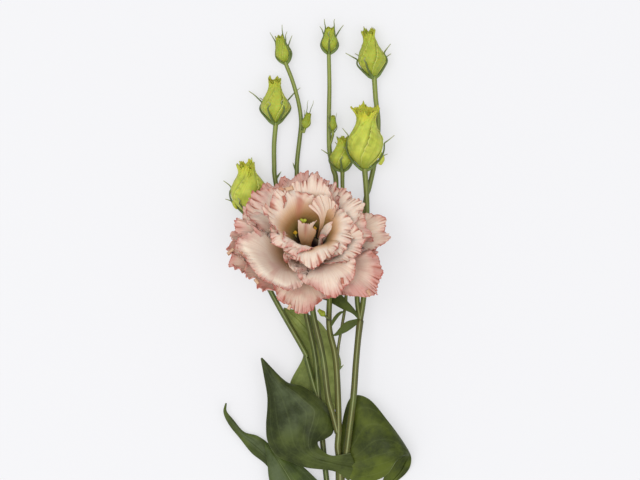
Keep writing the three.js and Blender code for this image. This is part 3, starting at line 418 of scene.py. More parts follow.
# Stems: middle lines and radii
STEMS = [
    ([(9.3, -139, LYING_HEIGHT), (9.6, -133, LYING_HEIGHT), LOW_NODE, (10.4, -115, 4.4), (11, -98, 7.4),
      HIGH_NODE], [MAIN_STEM_RADIUS, MAIN_STEM_RADIUS, MAIN_STEM_RADIUS, 2.21, 2.16, 2.21]),
    # behind the left leaf, to the tilted bud and to the two buds at the upper left
    ([LOW_NODE, (6.5, -110, 3), (4.3, -93.8, 3.6), (2.3, -74.4, 5), LEFT_FORK],
     [1.5, 1.4, 1.35, 1.35, 1.35]),
    ([LEFT_FORK, (-1.8, -47.5, 6.6), (-5.7, -33.3, 6.2), (-7.2, -28.8, 6), (-25.2, 3.5, 4),
      (-31.8, 24, 4), *neck("bud_9")], [1.25, 1.25, 1.25, 1.25, 1.2, 1.2, 1.2]),
    ([LEFT_FORK, (-0.2, -46, 7), (-1.7, -30.5, 7), (-6.1, -10, 5.6), UPPER_FORK],
     [1.25, 1.25, 1.2, 1.2, 1.2]),
    ([UPPER_FORK, (-17, 35, 2), (-21.3, 55.6, 1.8), (-21.9, 64.5, 2), (-21.9, 74, 3),
      *neck("bud_4")], [1.1, 1.1, 1.1, 1.1, 1.15, 1.3]),
    ([UPPER_FORK, (-10.8, 35, 2), (-10.6, 58, 2), (-10.4, 65.8, 2.2), (-8.8, 79.8, 3),
      (-8.5, 86.2, 3.4), (-9.8, 95, 3.8), (-12.7, 105.3, 4.4), *neck("bud_1")],
     [1.1, 1.1, 1.05, 1.05, 1, 0.95, 0.95, 0.95, 1]),
    ([(-8.9, 79.2, 3), (-8, 80.4, 4.2), *neck("bud_5")], [0.6, 0.6, 0.7]),
    # to the bloom
    ([(9.7, -70, 12), (7.3, -60.5, 13.2), (5, -52, 13.6), (2.4, -31.9, 12.4), (-2.5, -10, 9),
      (-2.9, 3, 6.6), in_bloom(0, 0, -4), in_bloom(0, 0, 0.25)],
     [1.4, 1.4, 1.4, 1.4, 1.4, 1.5, 1.7, 2.6]),
    # in front of the left leaf's edge, to the buds in the middle
    ([HIGH_NODE, (9.8, -77, 10.6), (10.3, -67.5, 12), (9.6, -43.5, 11.6), (8.4, -30.5, 10.8),
      (5.6, -17.5, 8.6), (5.8, -2.5, 5.6), (6.8, 20, 3.2), (9, 53, 2.2), (7.5, 61.9, 2),
      (5.9, 69.6, 2.2), (5.5, 77.2, 3), (5.5, 90, 4.2), (5.7, 102.8, 4.8), *neck("bud_2")],
     [1.6, 1.5, 1.5, 1.45, 1.4, 1.35, 1.3, 1.25, 1.2, 1.15, 1.1, 1.05, 1, 0.95, 1]),
    ([(5.7, 72.6, 2.4), (6.8, 76, 4.2), *neck("bud_6")], [0.6, 0.6, 0.7]),
    ([(9.3, -37.5, 11.2), (10.3, -26.2, 9.6), (13, -10.8, 7), (14, -0.7, 5), (13.4, 25, 3),
      (12.3, 51, 3.2), *neck("bud_7")], [0.7, 0.7, 0.75, 0.8, 0.9, 1, 1.1]),
    ([(5.8, -14.4, 8.2), (4.9, -13.2, 11), *neck("bud_10")], [0.5, 0.45, 0.5]),
    # the right branch, with its fork below the bloom
    ([HIGH_NODE, (13.7, -82.4, 10.4), (15.7, -67.7, 11.4), (17.7, -51.6, 12), (18.8, -36.3, 12),
      (19.9, -23.8, 11.4), RIGHT_FORK], [1.5, 1.6, 1.6, 1.55, 1.5, 1.5, 1.7]),
    ([RIGHT_FORK, (22.7, -3, 8.6), (24.2, 18, 6), (24.4, 41.5, 6.4), (24, 51.7, 8.4),
      *neck("bud_8")], [1.35, 1.3, 1.25, 1.25, 1.3, 1.5]),
    ([RIGHT_FORK, (19.5, -2.5, 8), (20, 18, 3), (23.7, 45.4, 1.9), (25.6, 52.4, 1.9),
      (28.5, 66.4, 1.9), (30.1, 83.6, 2.6), (28.8, 96.4, 3.8), *neck("bud_3")],
     [1.3, 1.2, 1.15, 1.15, 1.15, 1.15, 1.15, 1.2, 1.35]),
]
# Small scales on the thin stems: the radii of one, and the foot and the tip of each
SCALE_RADII = [0.7, 0.5, 0.12]
SCALES = [
    [(-10.5, 59.5, 2.2), (-12.6, 64.6, 3.4)],
    [(-21.4, 56, 2), (-18.4, 60.2, 3)],
    [(9.4, -39.4, 11.4), (12.8, -36, 12.6)],
]

# Small clasping leaves at the forks: faces across and along one, and ribs from foot to tip
BRACT_GRID = (24, 48)
BRACTS = [
    [[(20, -13.5, 10.6), (17, -10.5, 10.6), (12.5, -8.5, 8.4), (9, -6.6, 5.6), (6, -5, 3.6),
      (2.5, -3.5, 3)],
     [(20.5, -13, 10.6), (16.8, -8.5, 11), (11.8, -5, 8.8), (8.4, -4.4, 5.8), (5.6, -4, 3.6),
      (2.5, -3.4, 3)],
     [(21.2, -12.5, 10.6), (16.5, -6.5, 10.4), (11, -0.8, 8.2), (7.8, -0.9, 5.4), (5, -1.8, 3.6),
      (2.6, -3.2, 3)]],
    [[(20, -13, 11), (13.5, -15, 11.6), (8.8, -20.3, 11.6), (6.9, -21.5, 11.8)],
     [(20.3, -14, 11), (14, -17.4, 12), (9.5, -20.9, 12), (6.8, -21.6, 11.8)],
     [(20.6, -15.2, 11), (14.5, -19.5, 11.4), (10, -21.3, 11.6), (6.9, -21.8, 11.8)]],
    [[(5.9, -16.6, 9.2), (7.7, -12.6, 10), (10.6, -9.9, 9.8), (13, -9.3, 9.2)],
     [(6.3, -17, 9.2), (8.5, -13, 10.2), (11, -10.4, 10), (13.1, -9.5, 9.2)],
     [(6.7, -17.4, 9.2), (9.3, -13.4, 10), (11.4, -10.9, 9.8), (13.1, -9.8, 9.2)]],
]

# Leaves: ribs from foot to tip
LEAVES = {
    "leaf_left": [
        [(15.2, -94, 7.6), (8, -89, 11.4), (-5, -87.4, 9.4), (-13, -84.8, 8.3), (-20.5, -81.5, 7.6),
         (-25, -74.5, 7.2), (-25.8, -66.5, 7.2), (-25.2, -58, 7.5), (-25.2, -51.5, 8),
         (-26.5, -43.5, 8.5), (-28.5, -33, 9)],
        [(18.6, -89.6, 8.2), (7.4, -86.2, 13), (-3, -83.8, 12.4), (-9, -81, 12.5), (-14, -77, 12),
         (-16.5, -71, 11.6), (-18.2, -64, 11.4), (-19.5, -57, 11.2), (-20.8, -51, 11),
         (-23.8, -43.5, 10.6), (-28.2, -32.8, 9)],
        [(18.4, -85, 9.8), (7.4, -83.4, 13.4), (-0.5, -81.2, 13.8), (-4.5, -77, 15),
         (-4.5, -71, 16.4), (-2.5, -64, 17), (-2, -58.5, 17), (-6.5, -54.2, 16.6),
         (-11.5, -49.8, 15.4), (-19, -44, 12.4), (-28, -32.7, 9)],
        [(16.2, -80, 12.8), (7.4, -81.2, 13.6), (1.8, -78.6, 12.4), (-0.2, -74.5, 12.2), (3.5, -73, 11.4),
         (7.5, -69.5, 10.2), (6.8, -61, 9.6), (1.5, -53.8, 10.2), (-7.5, -47, 11),
         (-16, -44.5, 11), (-27.8, -32.8, 9)],
    ],
    "leaf_right": [
        [(11.5, -85.5, 8.2), (17, -94, 8), (26, -94.5, 9), (34, -91, 12), (38.5, -84.5, 14),
         (41.5, -81.6, 11.6), (38.5, -83.5, 5.4), (34, -90, 3), (30.5, -100, 1)],
        [(11.5, -84.8, 8.2), (21, -82.5, 10.6), (28.5, -78, 13.4), (35.5, -76.5, 15),
         (41, -77.5, 13), (45, -80.3, 8.8), (43.8, -84.6, 3.6), (40, -91.2, 1.9), (30.8, -100.3, 1)],
        [(11.5, -84, 8.2), (11.5, -69, 6.6), (16, -53, 6.6), (25, -53, 8), (35, -64.5, 10),
         (43.5, -76.5, 8), (46.6, -83.5, 4.2), (43.5, -91, 1.8), (31, -100.5, 1)],
    ],
    "leaf_low_left": [
        [(9.5, -127.2, 2.6), (-5, -117.5, 3), (-15, -102.5, 2.4), (-24.8, -87.5, 2.4),
         (-33, -80.5, 2.2), (-39, -73, 2.6), (-44.5, -66, 3), (-47.1, -60, 4), (-46.1, -55.5, 4.6)],
        [(9.8, -126.5, 2.6), (-2.5, -112, 4), (-13.5, -98, 3.4), (-24, -83.5, 3.4),
         (-31.5, -76.5, 3.4), (-38, -71.2, 3.6), (-43.5, -64.5, 4), (-46.4, -59.8, 4.6),
         (-45.9, -55.4, 4.8)],
        [(10, -125.8, 2.6), (0.5, -105.5, 3), (-12, -92, 2.4), (-23, -77.5, 2.4), (-30, -72, 2.2),
         (-37, -69.8, 2.6), (-42.5, -63.5, 3), (-45.7, -59.5, 4), (-45.7, -55.4, 4.6)],
    ],
    "leaf_low_front": [
        [(9.8, -127.5, 4), (-6.5, -124, 5), (-18.5, -111.5, 5), (-24, -95, 5), (-25.2, -85.5, 5),
         (-26.2, -79, 4.6), (-27, -74.5, 4.2)],
        [(10.2, -126.5, 4), (2, -116, 7.5), (-7, -104, 7.4), (-13.5, -94, 6.8), (-19.5, -84.5, 6.2),
         (-24, -78.5, 5.2), (-26.7, -74.2, 4.2)],
        [(11, -125.5, 4), (10.5, -110, 6), (4.5, -98.5, 6), (0, -94, 5.8), (-9.5, -85.5, 5.2),
         (-21, -79, 4.6), (-26.4, -74.3, 4.2)],
    ],
    "leaf_back": [
        [(1.2, -66, 5.4), (-8, -57, 3), (-14.2, -47, 2.6), (-7.5, -32.5, 4), (-9.5, -25, 3.6),
         (-13.5, -17, 3), (-16.5, -10.5, 2.8), (-17.2, -8.1, 2.8)],
        [(1.5, -65.5, 5.4), (1.5, -56, 3), (-2, -44, 2.8), (2, -33, 2.6), (-2, -23, 2.4),
         (-8, -15.5, 2.4), (-13.5, -10.5, 2.6), (-17, -8, 2.8)],
        [(1.8, -65, 5.4), (10.8, -55, 3.6), (10, -42.5, 3.8), (11.5, -35, 4), (8, -25.5, 3.4),
         (1, -15, 3), (-7.5, -10, 2.8), (-16.8, -8, 2.8)],
    ],
}

# How far the midribs and the swellings of the leaves and of the bracts are raised, or sunk if negative
LEAF_RELIEF = -0.3
BRACT_RELIEF = -0.1
# Where across a leaf its side veins run
SIDE_VEINS = (0.12, 0.27, 0.42, 0.58, 0.73, 0.88)
# Each leaf's colour, that of its paler parts, how yellow its foot is, how plainly its midrib shows and
# where it lies, and the place of its waxy bloom, which is partly a painted sheen
LEAF_MARKS = {
    "leaf_left": ((38, 46, 14), (74, 84, 36), 0.1, 0.14, 0.667, (0.45, 0.74)),
    "leaf_right": ((43, 52, 12), (82, 93, 24), 0.6, 0, 0.5, None),
    "leaf_low_left": ((52, 62, 24), (82, 94, 40), 0, 0.2, 0.5, (0.6, 0.5)),
    "leaf_low_front": ((48, 60, 20), (76, 90, 34), 0, 0.7, 0.5, (0.25, 0.6)),
    "leaf_back": ((104, 116, 52), (154, 166, 88), 0.2, 0.2, 0.5, None),
}


class BloomSettings(bpy.types.PropertyGroup):
    """The open bloom"""
    thickness: FloatProperty(name="Petal thickness", description="Thickness of a petal",
                             default=0.35 * MM, unit="LENGTH")
    frill: FloatProperty(name="Frill", description="How strongly the petals' rims are frilled", default=1.0)
    columns: IntProperty(name="Columns", description="Faces round the rim of each petal", default=144)
    rows: IntProperty(name="Rows", description="Faces from the foot of each petal to its rim", default=30)
    cream: FloatVectorProperty(name="Cream", description="Colour of the middle of a petal",
                               subtype="COLOR", default=tint(228, 208, 191))
    pink: FloatVectorProperty(name="Pink", description="Colour towards the rim",
                              subtype="COLOR", default=tint(208, 161, 150))
    rose: FloatVectorProperty(name="Rose", description="Colour of the rim itself",
                              subtype="COLOR", default=tint(178, 92, 82))
    # partly the petals' own olive and partly painted shade deep in the bloom
    throat: FloatVectorProperty(name="Throat", description="Colour deep in the bloom",
                                subtype="COLOR", default=tint(112, 96, 40))


class BudSettings(bpy.types.PropertyGroup):
    """The buds"""
    thickness: FloatProperty(name="Petal thickness", description="Thickness of a bud's petals",
                             default=0.4 * MM, unit="LENGTH")
    green: FloatVectorProperty(name="Green", description="Colour at a bud's base",
                               subtype="COLOR", default=tint(130, 144, 34))
    yellow: FloatVectorProperty(name="Yellow", description="Colour of a bud's body",
                                subtype="COLOR", default=tint(200, 206, 82))
    lip: FloatVectorProperty(name="Lip", description="Colour of a bud's frilled mouth",
                             subtype="COLOR", default=tint(206, 206, 66))
    # painted highlight: the pale colour along a petal's toothed free edge
    edge: FloatVectorProperty(name="Edge", description="Colour of a petal's toothed free edge",
                              subtype="COLOR", default=tint(212, 216, 122))
    # painted shade: the colour of the creases, the hatch grooves and the flanks
    crease: FloatVectorProperty(name="Crease", description="Colour in the creases and on a bud's flanks",
                                subtype="COLOR", default=tint(116, 122, 30))


class StemSettings(bpy.types.PropertyGroup):
    """Stems and sepals"""
    sides: IntProperty(name="Sides", description="Faces round a stem", default=24)
    ridge: FloatProperty(name="Ridge", description="Height of the stem's ridges, as a share of its radius",
                         default=0.06)
    green: FloatVectorProperty(name="Green", description="Colour of the stems",
                               subtype="COLOR", default=tint(94, 106, 48))
    shade: FloatVectorProperty(name="Shade", description="Colour between the ridges",
                               subtype="COLOR", default=tint(66, 80, 32))
    light: FloatVectorProperty(name="Light green", description="Colour of the stems next to the buds",
                               subtype="COLOR", default=tint(148, 160, 74))
    worn: FloatVectorProperty(name="Worn", description="Colour of the stems' brownish stretches",
                              subtype="COLOR", default=tint(92, 84, 42))
    # painted shade: the colour that the stems darken to on their flanks, where they face sideways or down
    painted_side_shade: FloatVectorProperty(name="Flank", description="Colour of the stems' flanks",
                               subtype="COLOR", default=tint(44, 44, 16))


class LeafSettings(bpy.types.PropertyGroup):
    """Leaves and bracts"""
    thickness: FloatProperty(name="Leaf thickness", description="Thickness of a leaf",
                             default=0.5 * MM, unit="LENGTH")
    columns: IntProperty(name="Columns", description="Faces across each leaf", default=50)
    rows: IntProperty(name="Rows", description="Faces along each leaf", default=90)
    green: FloatVectorProperty(name="Green", description="Colour of the bracts",
                               subtype="COLOR", default=tint(50, 60, 22))
    light: FloatVectorProperty(name="Light green", description="Colour of the bracts' paler patches",
                               subtype="COLOR", default=tint(80, 92, 36))


class StageSettings(bpy.types.PropertyGroup):
    """The floor, the light and the camera"""
    camera_height: FloatProperty(name="Camera height", default=2.4, unit="LENGTH",
                                 description="Height of the camera over the table")
    field: FloatProperty(name="Field", default=0.32, unit="LENGTH",
                         description="Width of the table that the camera sees")
    floor: FloatVectorProperty(name="Floor", description="Colour of the table",
                               subtype="COLOR", default=(0.36, 0.36, 0.37))
    glow: FloatProperty(name="Glow", description="How far the table lights the plant from below",
                        default=0.49)


# Half the side of the table, in metres, and its gap below the plant
TABLE_SIZE = 6
TABLE_GAP = 0.05
# The strength of the sky, and the lights: their places in metres, their powers, and their common size
SKY = 0.76
LIGHTS = [("Softbox", (-0.5, -0.1, 1.9), 15.5), ("Fill", (0.9, -0.6, 1.8), 6.5)]
LIGHT_SIZE = 1.4
# What the camera looks down on, and the width of its sensor
VIEW_MIDDLE = (1, 26, 0)
SENSOR_WIDTH = 36

# Blades and tubes

# How far along a petal, leaf or stem a point lies, how near the rim, its direction across, its shade
# and how deep it lies in a crease
LAYERS = ("along", "rim", "fan", "tone", "crease")


def new_mesh():
    """An empty bmesh with the layers that the finishes read"""
    bm = bmesh.new()
    bm.loops.layers.uv.new("UVMap")
    for name in LAYERS:
        bm.verts.layers.float.new(name)
    return bm


def add_blade(bm, surface, columns, rows, tone=0.5, crowd=1.0, shades=(0.0, 1.0), corner=None, late=1):
    """A grid bent by surface(u, v), u from -1 to 1 across and v from 0 to 1 along, with its rows
    crowded towards the rim. Where a corner is given, the grid fans out from the foot to a rounded rim.
    The surface may also give how near the rim a point is, its direction and how deep in a crease.
    The shades are where the blade begins and ends on a ramp of colours, and late how late it changes"""
    along, rim, fan, shade, crease = (bm.verts.layers.float[name] for name in LAYERS)
    made = bmesh.ops.create_grid(bm, x_segments=columns, y_segments=rows, size=1, calc_uvs=True)
    for vert in made["verts"]:
        u = vert.co.x
        v = 1 - (1 - (vert.co.y + 1) / 2) ** crowd
        if corner:
            rim_u, rim_v = rounded_rim(u, corner)
            u, v = u + (rim_u - u) * v, rim_v * v
        found = surface(u, v)
        point, near, direction, depth = found if isinstance(found, tuple) else (found, abs(u), u, 0)
        vert[along] = shades[0] + (shades[1] - shades[0]) * v ** late
        vert[rim] = near
        vert[fan] = direction
        vert[shade] = tone
        vert[crease] = depth
        vert.co = metres(point)


def add_tube(bm, points, radii, steps, sides, ridge=0.0, flat=1.0, tone=0.5):
    """A closed tube through points, with a few ridges, its section flattened upwards by a share. Where
    the tone is a pair, it runs from one to the other"""
    along, rim, _, shade, _ = (bm.verts.layers.float[name] for name in LAYERS)
    low, high = tone if isinstance(tone, tuple) else (tone, tone)
    line = [Vector(point) for point in points]
    made = bmesh.ops.create_grid(bm, x_segments=sides, y_segments=steps, size=1, calc_uvs=True)["verts"]
    rings = {}
    for vert in made:
        step = round((vert.co.y + 1) / 2 * steps)
        rings.setdefault(step, []).append((vert.co.x, vert))
    for step, ring in rings.items():
        t = step / steps
        centre = run(line, t)
        _, side, up = axis_frame(run(line, t + 0.01) - run(line, t - 0.01))
        radius = run(radii, t)
        for u, vert in ring:
            turn = math.pi * u
            raised = math.cos(RIDGES * turn)
            reach = radius * (1 + ridge * raised)
            vert[along] = t
            vert[rim] = 0.5 + 0.5 * raised
            vert[shade] = low + (high - low) * t
            vert.co = metres(centre + side * reach * math.cos(turn) + up * reach * flat * math.sin(turn))
    bmesh.ops.remove_doubles(bm, verts=made, dist=WELD)
    kept = [vert for vert in made if vert.is_valid]
    open_edges = {edge for vert in kept for edge in vert.link_edges if edge.is_boundary}
    bmesh.ops.holes_fill(bm, edges=list(open_edges), sides=sides + 1)


def make_piece(name, bm, material, thickness=0.0, stands_for=()):
    """Turns a bmesh into a piece of the part, which stands for some of its solids"""
    bmesh.ops.recalc_face_normals(bm, faces=bm.faces)
    mesh = bpy.data.meshes.new(name)
    bm.to_mesh(mesh)
    bm.free()
    mesh.shade_smooth()
    mesh.materials.append(material)
    piece = bpy.data.objects.new(name, mesh)
    bpy.context.scene.collection.objects.link(piece)
    if thickness:
        wall = piece.modifiers.new("Thickness", "SOLIDIFY")
        wall.thickness = thickness
        wall.offset = 0
    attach(piece, "root")
    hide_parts(*stands_for)


# Finishes

class Finish:
    """A material under construction. Most methods add one node and return its output"""

    def __init__(self, name, roughness, **sockets):
        """Sockets are those of the shader, with their spaces written as underscores"""
        self.material = bpy.data.materials.new(name)
        self.material.use_nodes = True
        self.tree = self.material.node_tree
        self.shader = self.tree.nodes["Principled BSDF"]
        self.shader.inputs["Roughness"].default_value = roughness
        for socket, value in sockets.items():
            self.shader.inputs[socket.replace("_", " ")].default_value = value

    def node(self, kind, inputs, **settings):
        """Adds a node, with each of its inputs linked or set"""
        made = self.tree.nodes.new(kind)
        for key, value in settings.items():
            setattr(made, key, value)
        for key, value in inputs.items():
            if isinstance(value, bpy.types.NodeSocket):
                self.tree.links.new(value, made.inputs[key])
            else:
                made.inputs[key].default_value = value
        return made

    def attribute(self, name):
        """A layer of the mesh"""
        return self.node("ShaderNodeAttribute", {}, attribute_name=name).outputs["Fac"]

    def place(self, kind, stretch=(1, 1, 1)):
        """Object or UV coordinates, stretched"""
        source = self.node("ShaderNodeTexCoord", {}).outputs[kind]
        return self.node("ShaderNodeMapping", {"Vector": source, "Scale": stretch}).outputs["Vector"]

    def noise(self, where, scale, detail=3.0, roughness=0.5):
        """Clouds, from 0 to 1, with more of them to the metre as the scale grows"""
        made = self.node("ShaderNodeTexNoise", {"Vector": where, "Scale": scale, "Detail": detail,
                                                "Roughness": roughness})
        return made.outputs["Fac"]

    def streaks(self, across, along, detail=3.0, roughness=0.5):
        """Noise that swings this often across the surface and along it"""
        return self.noise(self.place("UV", (across, along, 1)), 1.0, detail, roughness)

    def math(self, operation, a, b=0.0):
        return self.node("ShaderNodeMath", {0: a, 1: b}, operation=operation).outputs[0]

    def plus(self, a, b):
        return self.math("ADD", a, b)

    def times(self, a, b):
        return self.math("MULTIPLY", a, b)

    def beside(self, a, b):
        """How far one value is from another"""
        return self.math("ABSOLUTE", self.math("SUBTRACT", a, b))

    def fit(self, value, low, high, to_low=0.0, to_high=1.0):
        """Maps a range of values to another, with soft ends"""
        made = self.node("ShaderNodeMapRange", {"Value": value, "From Min": low, "From Max": high,
                                                "To Min": to_low, "To Max": to_high},
                         interpolation_type="SMOOTHSTEP")
        return made.outputs["Result"]

    def ramp(self, factor, stops):
        """A colour that changes through stops, each a position and a colour"""
        made = self.node("ShaderNodeValToRGB", {"Fac": factor})
        elements = made.color_ramp.elements
        while len(elements) < len(stops):
            elements.new(0.5)
        for element, (position, colour) in zip(elements, stops):
            element.position = position
            element.color = (*colour, 1)
        return made.outputs["Color"]

    def mix(self, factor, a, b, blend="MIX"):
        """Turns colour a into b as the factor grows"""
        opaque = [value if isinstance(value, bpy.types.NodeSocket) else (*value, 1) for value in (a, b)]
        # its sockets go by number, because those for numbers and for colours share their names
        made = self.node("ShaderNodeMix", {0: factor, 6: opaque[0], 7: opaque[1]},
                         data_type="RGBA", blend_type=blend)
        return made.outputs[2]

    def painted_side_shade(self, base, shade, strength):
        """Painted shade: turns to a darker colour where the surface faces sideways or down, as if lit from
        above
        """
        normal = self.node("ShaderNodeNewGeometry", {}).outputs["Normal"]
        upwards = self.node("ShaderNodeSeparateXYZ", {"Vector": normal}).outputs["Z"]
        return self.mix(self.fit(upwards, 0.0, 0.85, strength, 0.0), base, shade)

    def bump(self, height, distance, strength):
        """Raises the surface by up to this distance in millimetres"""
        made = self.node("ShaderNodeBump", {"Height": height, "Distance": distance * MM,
                                            "Strength": strength})
        self.tree.links.new(made.outputs["Normal"], self.shader.inputs["Normal"])

    def colour(self, output):
        """Gives the material its colour, and returns the material"""
        self.tree.links.new(output, self.shader.inputs["Base Color"])
        return self.material


def petal_finish(settings):
    """Cream petals, brown and olive in the throat, partly their own colour and partly painted shade,
    blushing to a patchy rose rim, with fine veins, painted rose-brown shade in their creases and a painted
    highlight in the middle of petals that lie in shade
    """
    finish = Finish("Petal", 0.62, Subsurface_Weight=0.3, Subsurface_Scale=1.0 * MM,
                    Subsurface_Radius=(1.0, 0.7, 0.55), Sheen_Weight=0.06, Specular_IOR_Level=0.3)
    along, rim, fan, tone, crease = (finish.attribute(name) for name in LAYERS)
    body = finish.place("Object")
    # the ramp runs from dark violet and olive at a petal's foot, partly its own colour and partly painted
    # shade deep in the bloom, to cream; past 1 it rises to a painted highlight, palest at 1.15, and falls
    # back to cream at its end
    stops = [(0.0, tint(34, 18, 36)), (0.18, tint(48, 32, 32)), (0.3, settings.throat),
             (0.42, tint(152, 112, 66)), (0.54, tint(202, 164, 128)), (0.72, settings.cream),
             (1.0, settings.cream), (1.15, tint(248, 232, 214)), (LAST_SHADE, settings.cream)]
    base = finish.ramp(finish.math("DIVIDE", along, LAST_SHADE),
                       [(position / LAST_SHADE, colour) for position, colour in stops])
    # pink clouds, more of them towards the rim
    cloud = finish.noise(body, 110)
    blush = finish.plus(finish.fit(rim, 0.6, 1.0, 0.0, 0.6), finish.fit(cloud, 0.38, 0.7, -0.3, 0.35))
    blush = finish.plus(blush, finish.fit(tone, 0, 1, -0.35, 0.6))
    blush = finish.times(finish.fit(blush, 0, 1), finish.fit(along, 0.35, 0.7))
    base = finish.mix(blush, base, settings.pink)
    # painted shade: rose-brown, darker in the creases between the flutes and pleats and along the folds;
    # the same mix gives the rim curls their own rosy colour
    creased = finish.times(finish.fit(crease, 0.03, 0.7, 0.0, 0.9), finish.fit(along, 0.3, 0.55))
    base = finish.mix(creased, base, tint(176, 104, 84))
    # a rose rim in patches, dry and tan in places
    patch = finish.noise(body, 420, 3, 0.65)
    lace = finish.plus(finish.fit(rim, 0.93, 1.0), finish.fit(patch, 0.3, 0.7, -0.95, 0.2))
    base = finish.mix(finish.fit(lace, 0.0, 1.0, 0.0, 0.9), base, settings.rose)
    spots = finish.fit(finish.noise(body, 150, 2), 0.55, 0.72, -1.0, 0.0)
    dry = finish.fit(finish.plus(finish.fit(rim, 0.97, 1.0), spots), 0.0, 1.0, 0.0, 0.7)
    base = finish.mix(dry, base, tint(190, 146, 96))
    # veins that fan out from the petal's focus
    rays = finish.node("ShaderNodeCombineXYZ", {"X": fan, "Y": along}).outputs["Vector"]
    spread = finish.node("ShaderNodeMapping", {"Vector": rays, "Scale": (38, 1.6, 1)}).outputs["Vector"]
    veins = finish.noise(spread, 1.0, 4, 0.65)
    base = finish.mix(finish.fit(veins, 0.42, 0.72, 0.0, 0.35), base, tint(228, 190, 176), "MULTIPLY")
    finish.bump(veins, 0.18, 0.4)
    return finish.colour(base)


def tube_finish():
    """The corolla's tube: dark violet inside, pale green outside"""
    finish = Finish("Tube", 0.6)
    return finish.colour(finish.ramp(finish.attribute("along"), [
        (0.0, tint(150, 160, 90)), (0.4, tint(176, 160, 110)), (0.55, tint(120, 100, 70)),
        (0.68, tint(58, 34, 50)), (1.0, tint(40, 20, 36))]))


def heart_finish(name, colour, shade, roughness):
    """A waxy colour, clouded with its darker shade, for the stamens and the pistil"""
    finish = Finish(name, roughness, Subsurface_Weight=0.1, Subsurface_Scale=0.8 * MM)
    cloud = finish.noise(finish.place("Object"), 140, 4)
    finish.bump(finish.streaks(40, 1.5), 0.1, 0.5)
    return finish.colour(finish.mix(finish.fit(cloud, 0.35, 0.68), colour, shade))


def stem_finish(settings):
    """Green stems, yellower and paler towards the buds, with brownish stretches and fine lengthwise
    streaks, a painted highlight along the crests of their ridges and painted shade on their flanks"""
    finish = Finish("Stem", 0.5, Subsurface_Weight=0.1, Subsurface_Scale=0.8 * MM, Specular_IOR_Level=0.35)
    body = finish.place("Object")
    upper = finish.attribute("tone")
    low = finish.mix(finish.fit(finish.noise(body, 120, 4), 0.35, 0.68), settings.green, settings.shade)
    base = finish.mix(upper, low, settings.light)
    streaks = finish.streaks(34, 1.2)
    base = finish.mix(finish.fit(streaks, 0.35, 0.75, 0.0, 0.55), base, settings.shade)
    worn = finish.fit(finish.noise(body, 30, 2), 0.46, 0.62, 0.0, 0.6)
    base = finish.mix(finish.times(worn, finish.fit(upper, 0.3, 1.0, 1.0, 0.3)), base, settings.worn)
    # painted highlight along the crests of the ridges
    ridge = finish.fit(finish.attribute("rim"), 0.72, 1.0, 0.0, 0.45)
    base = finish.mix(ridge, base, tint(176, 184, 124))
    finish.bump(streaks, 0.12, 0.5)
    # painted shade on the flanks, where the stems face sideways or down
    return finish.colour(finish.painted_side_shade(base, settings.painted_side_shade, 1.0))


def sepal_finish():
    """Dark green sepals with dry, pale tips"""
    finish = Finish("Sepal", 0.55, Subsurface_Weight=0.05, Subsurface_Scale=0.5 * MM, Specular_IOR_Level=0.3)
    return finish.colour(finish.ramp(finish.attribute("along"), [
        (0.0, tint(116, 134, 68)), (0.25, tint(90, 104, 50)), (0.75, tint(96, 110, 60)),
        (0.97, tint(160, 164, 116))]))


def bud_finish(settings):
    """Yellow-green petals, greener at the base, with painted shade in the creases, the hatch grooves and on
    the flanks, a painted highlight on the toothed edges, a frilled mouth and fine veins"""
    finish = Finish("Bud", 0.5, Subsurface_Weight=0.2, Subsurface_Scale=1.0 * MM, Specular_IOR_Level=0.3)
    along, rim, tone, ribs = (finish.attribute(name) for name in ("along", "rim", "tone", "crease"))
    base = finish.ramp(along, [(0.0, settings.green), (0.22, settings.yellow), (0.75, settings.yellow),
                               (0.9, settings.lip), (1.0, settings.lip)])
    base = finish.mix(tone, base, settings.green)
    cloud = finish.noise(finish.place("Object"), 220)
    base = finish.mix(finish.fit(cloud, 0.42, 0.7, 0.0, 0.45), base, settings.green)
    veins = finish.streaks(26, 1.4, 4, 0.6)
    base = finish.mix(finish.fit(veins, 0.42, 0.72, 0.0, 0.45), base, settings.green)
    # painted shade in the grooves of the hatched ribs near the free edge
    hatch = finish.times(finish.fit(rim, 0.72, 0.96, 0.0, 0.5), finish.fit(ribs, 0.5, 1.0))
    base = finish.mix(hatch, base, settings.crease)
    # painted shadow: a dark crease beside the free edge of the next petal, below the open mouth
    closed = finish.fit(along, 0.76, 0.9, 1.0, 0.0)
    crease = finish.fit(finish.beside(rim, COVERED), 0.0, 0.08, 0.5, 0.0)
    crease = finish.times(finish.times(crease, finish.fit(along, 0.1, 0.4)), closed)
    base = finish.mix(crease, base, settings.crease)
    # painted highlight along each petal's toothed free edge
    base = finish.mix(finish.fit(rim, 0.955, 0.99, 0.0, 0.5), base, settings.edge)
    finish.bump(veins, 0.2, 0.6)
    # painted shade: below the open mouth, the bud darkens where it faces sideways or down
    dark = finish.painted_side_shade(base, settings.crease, 0.42)
    return finish.colour(finish.mix(closed, base, dark))


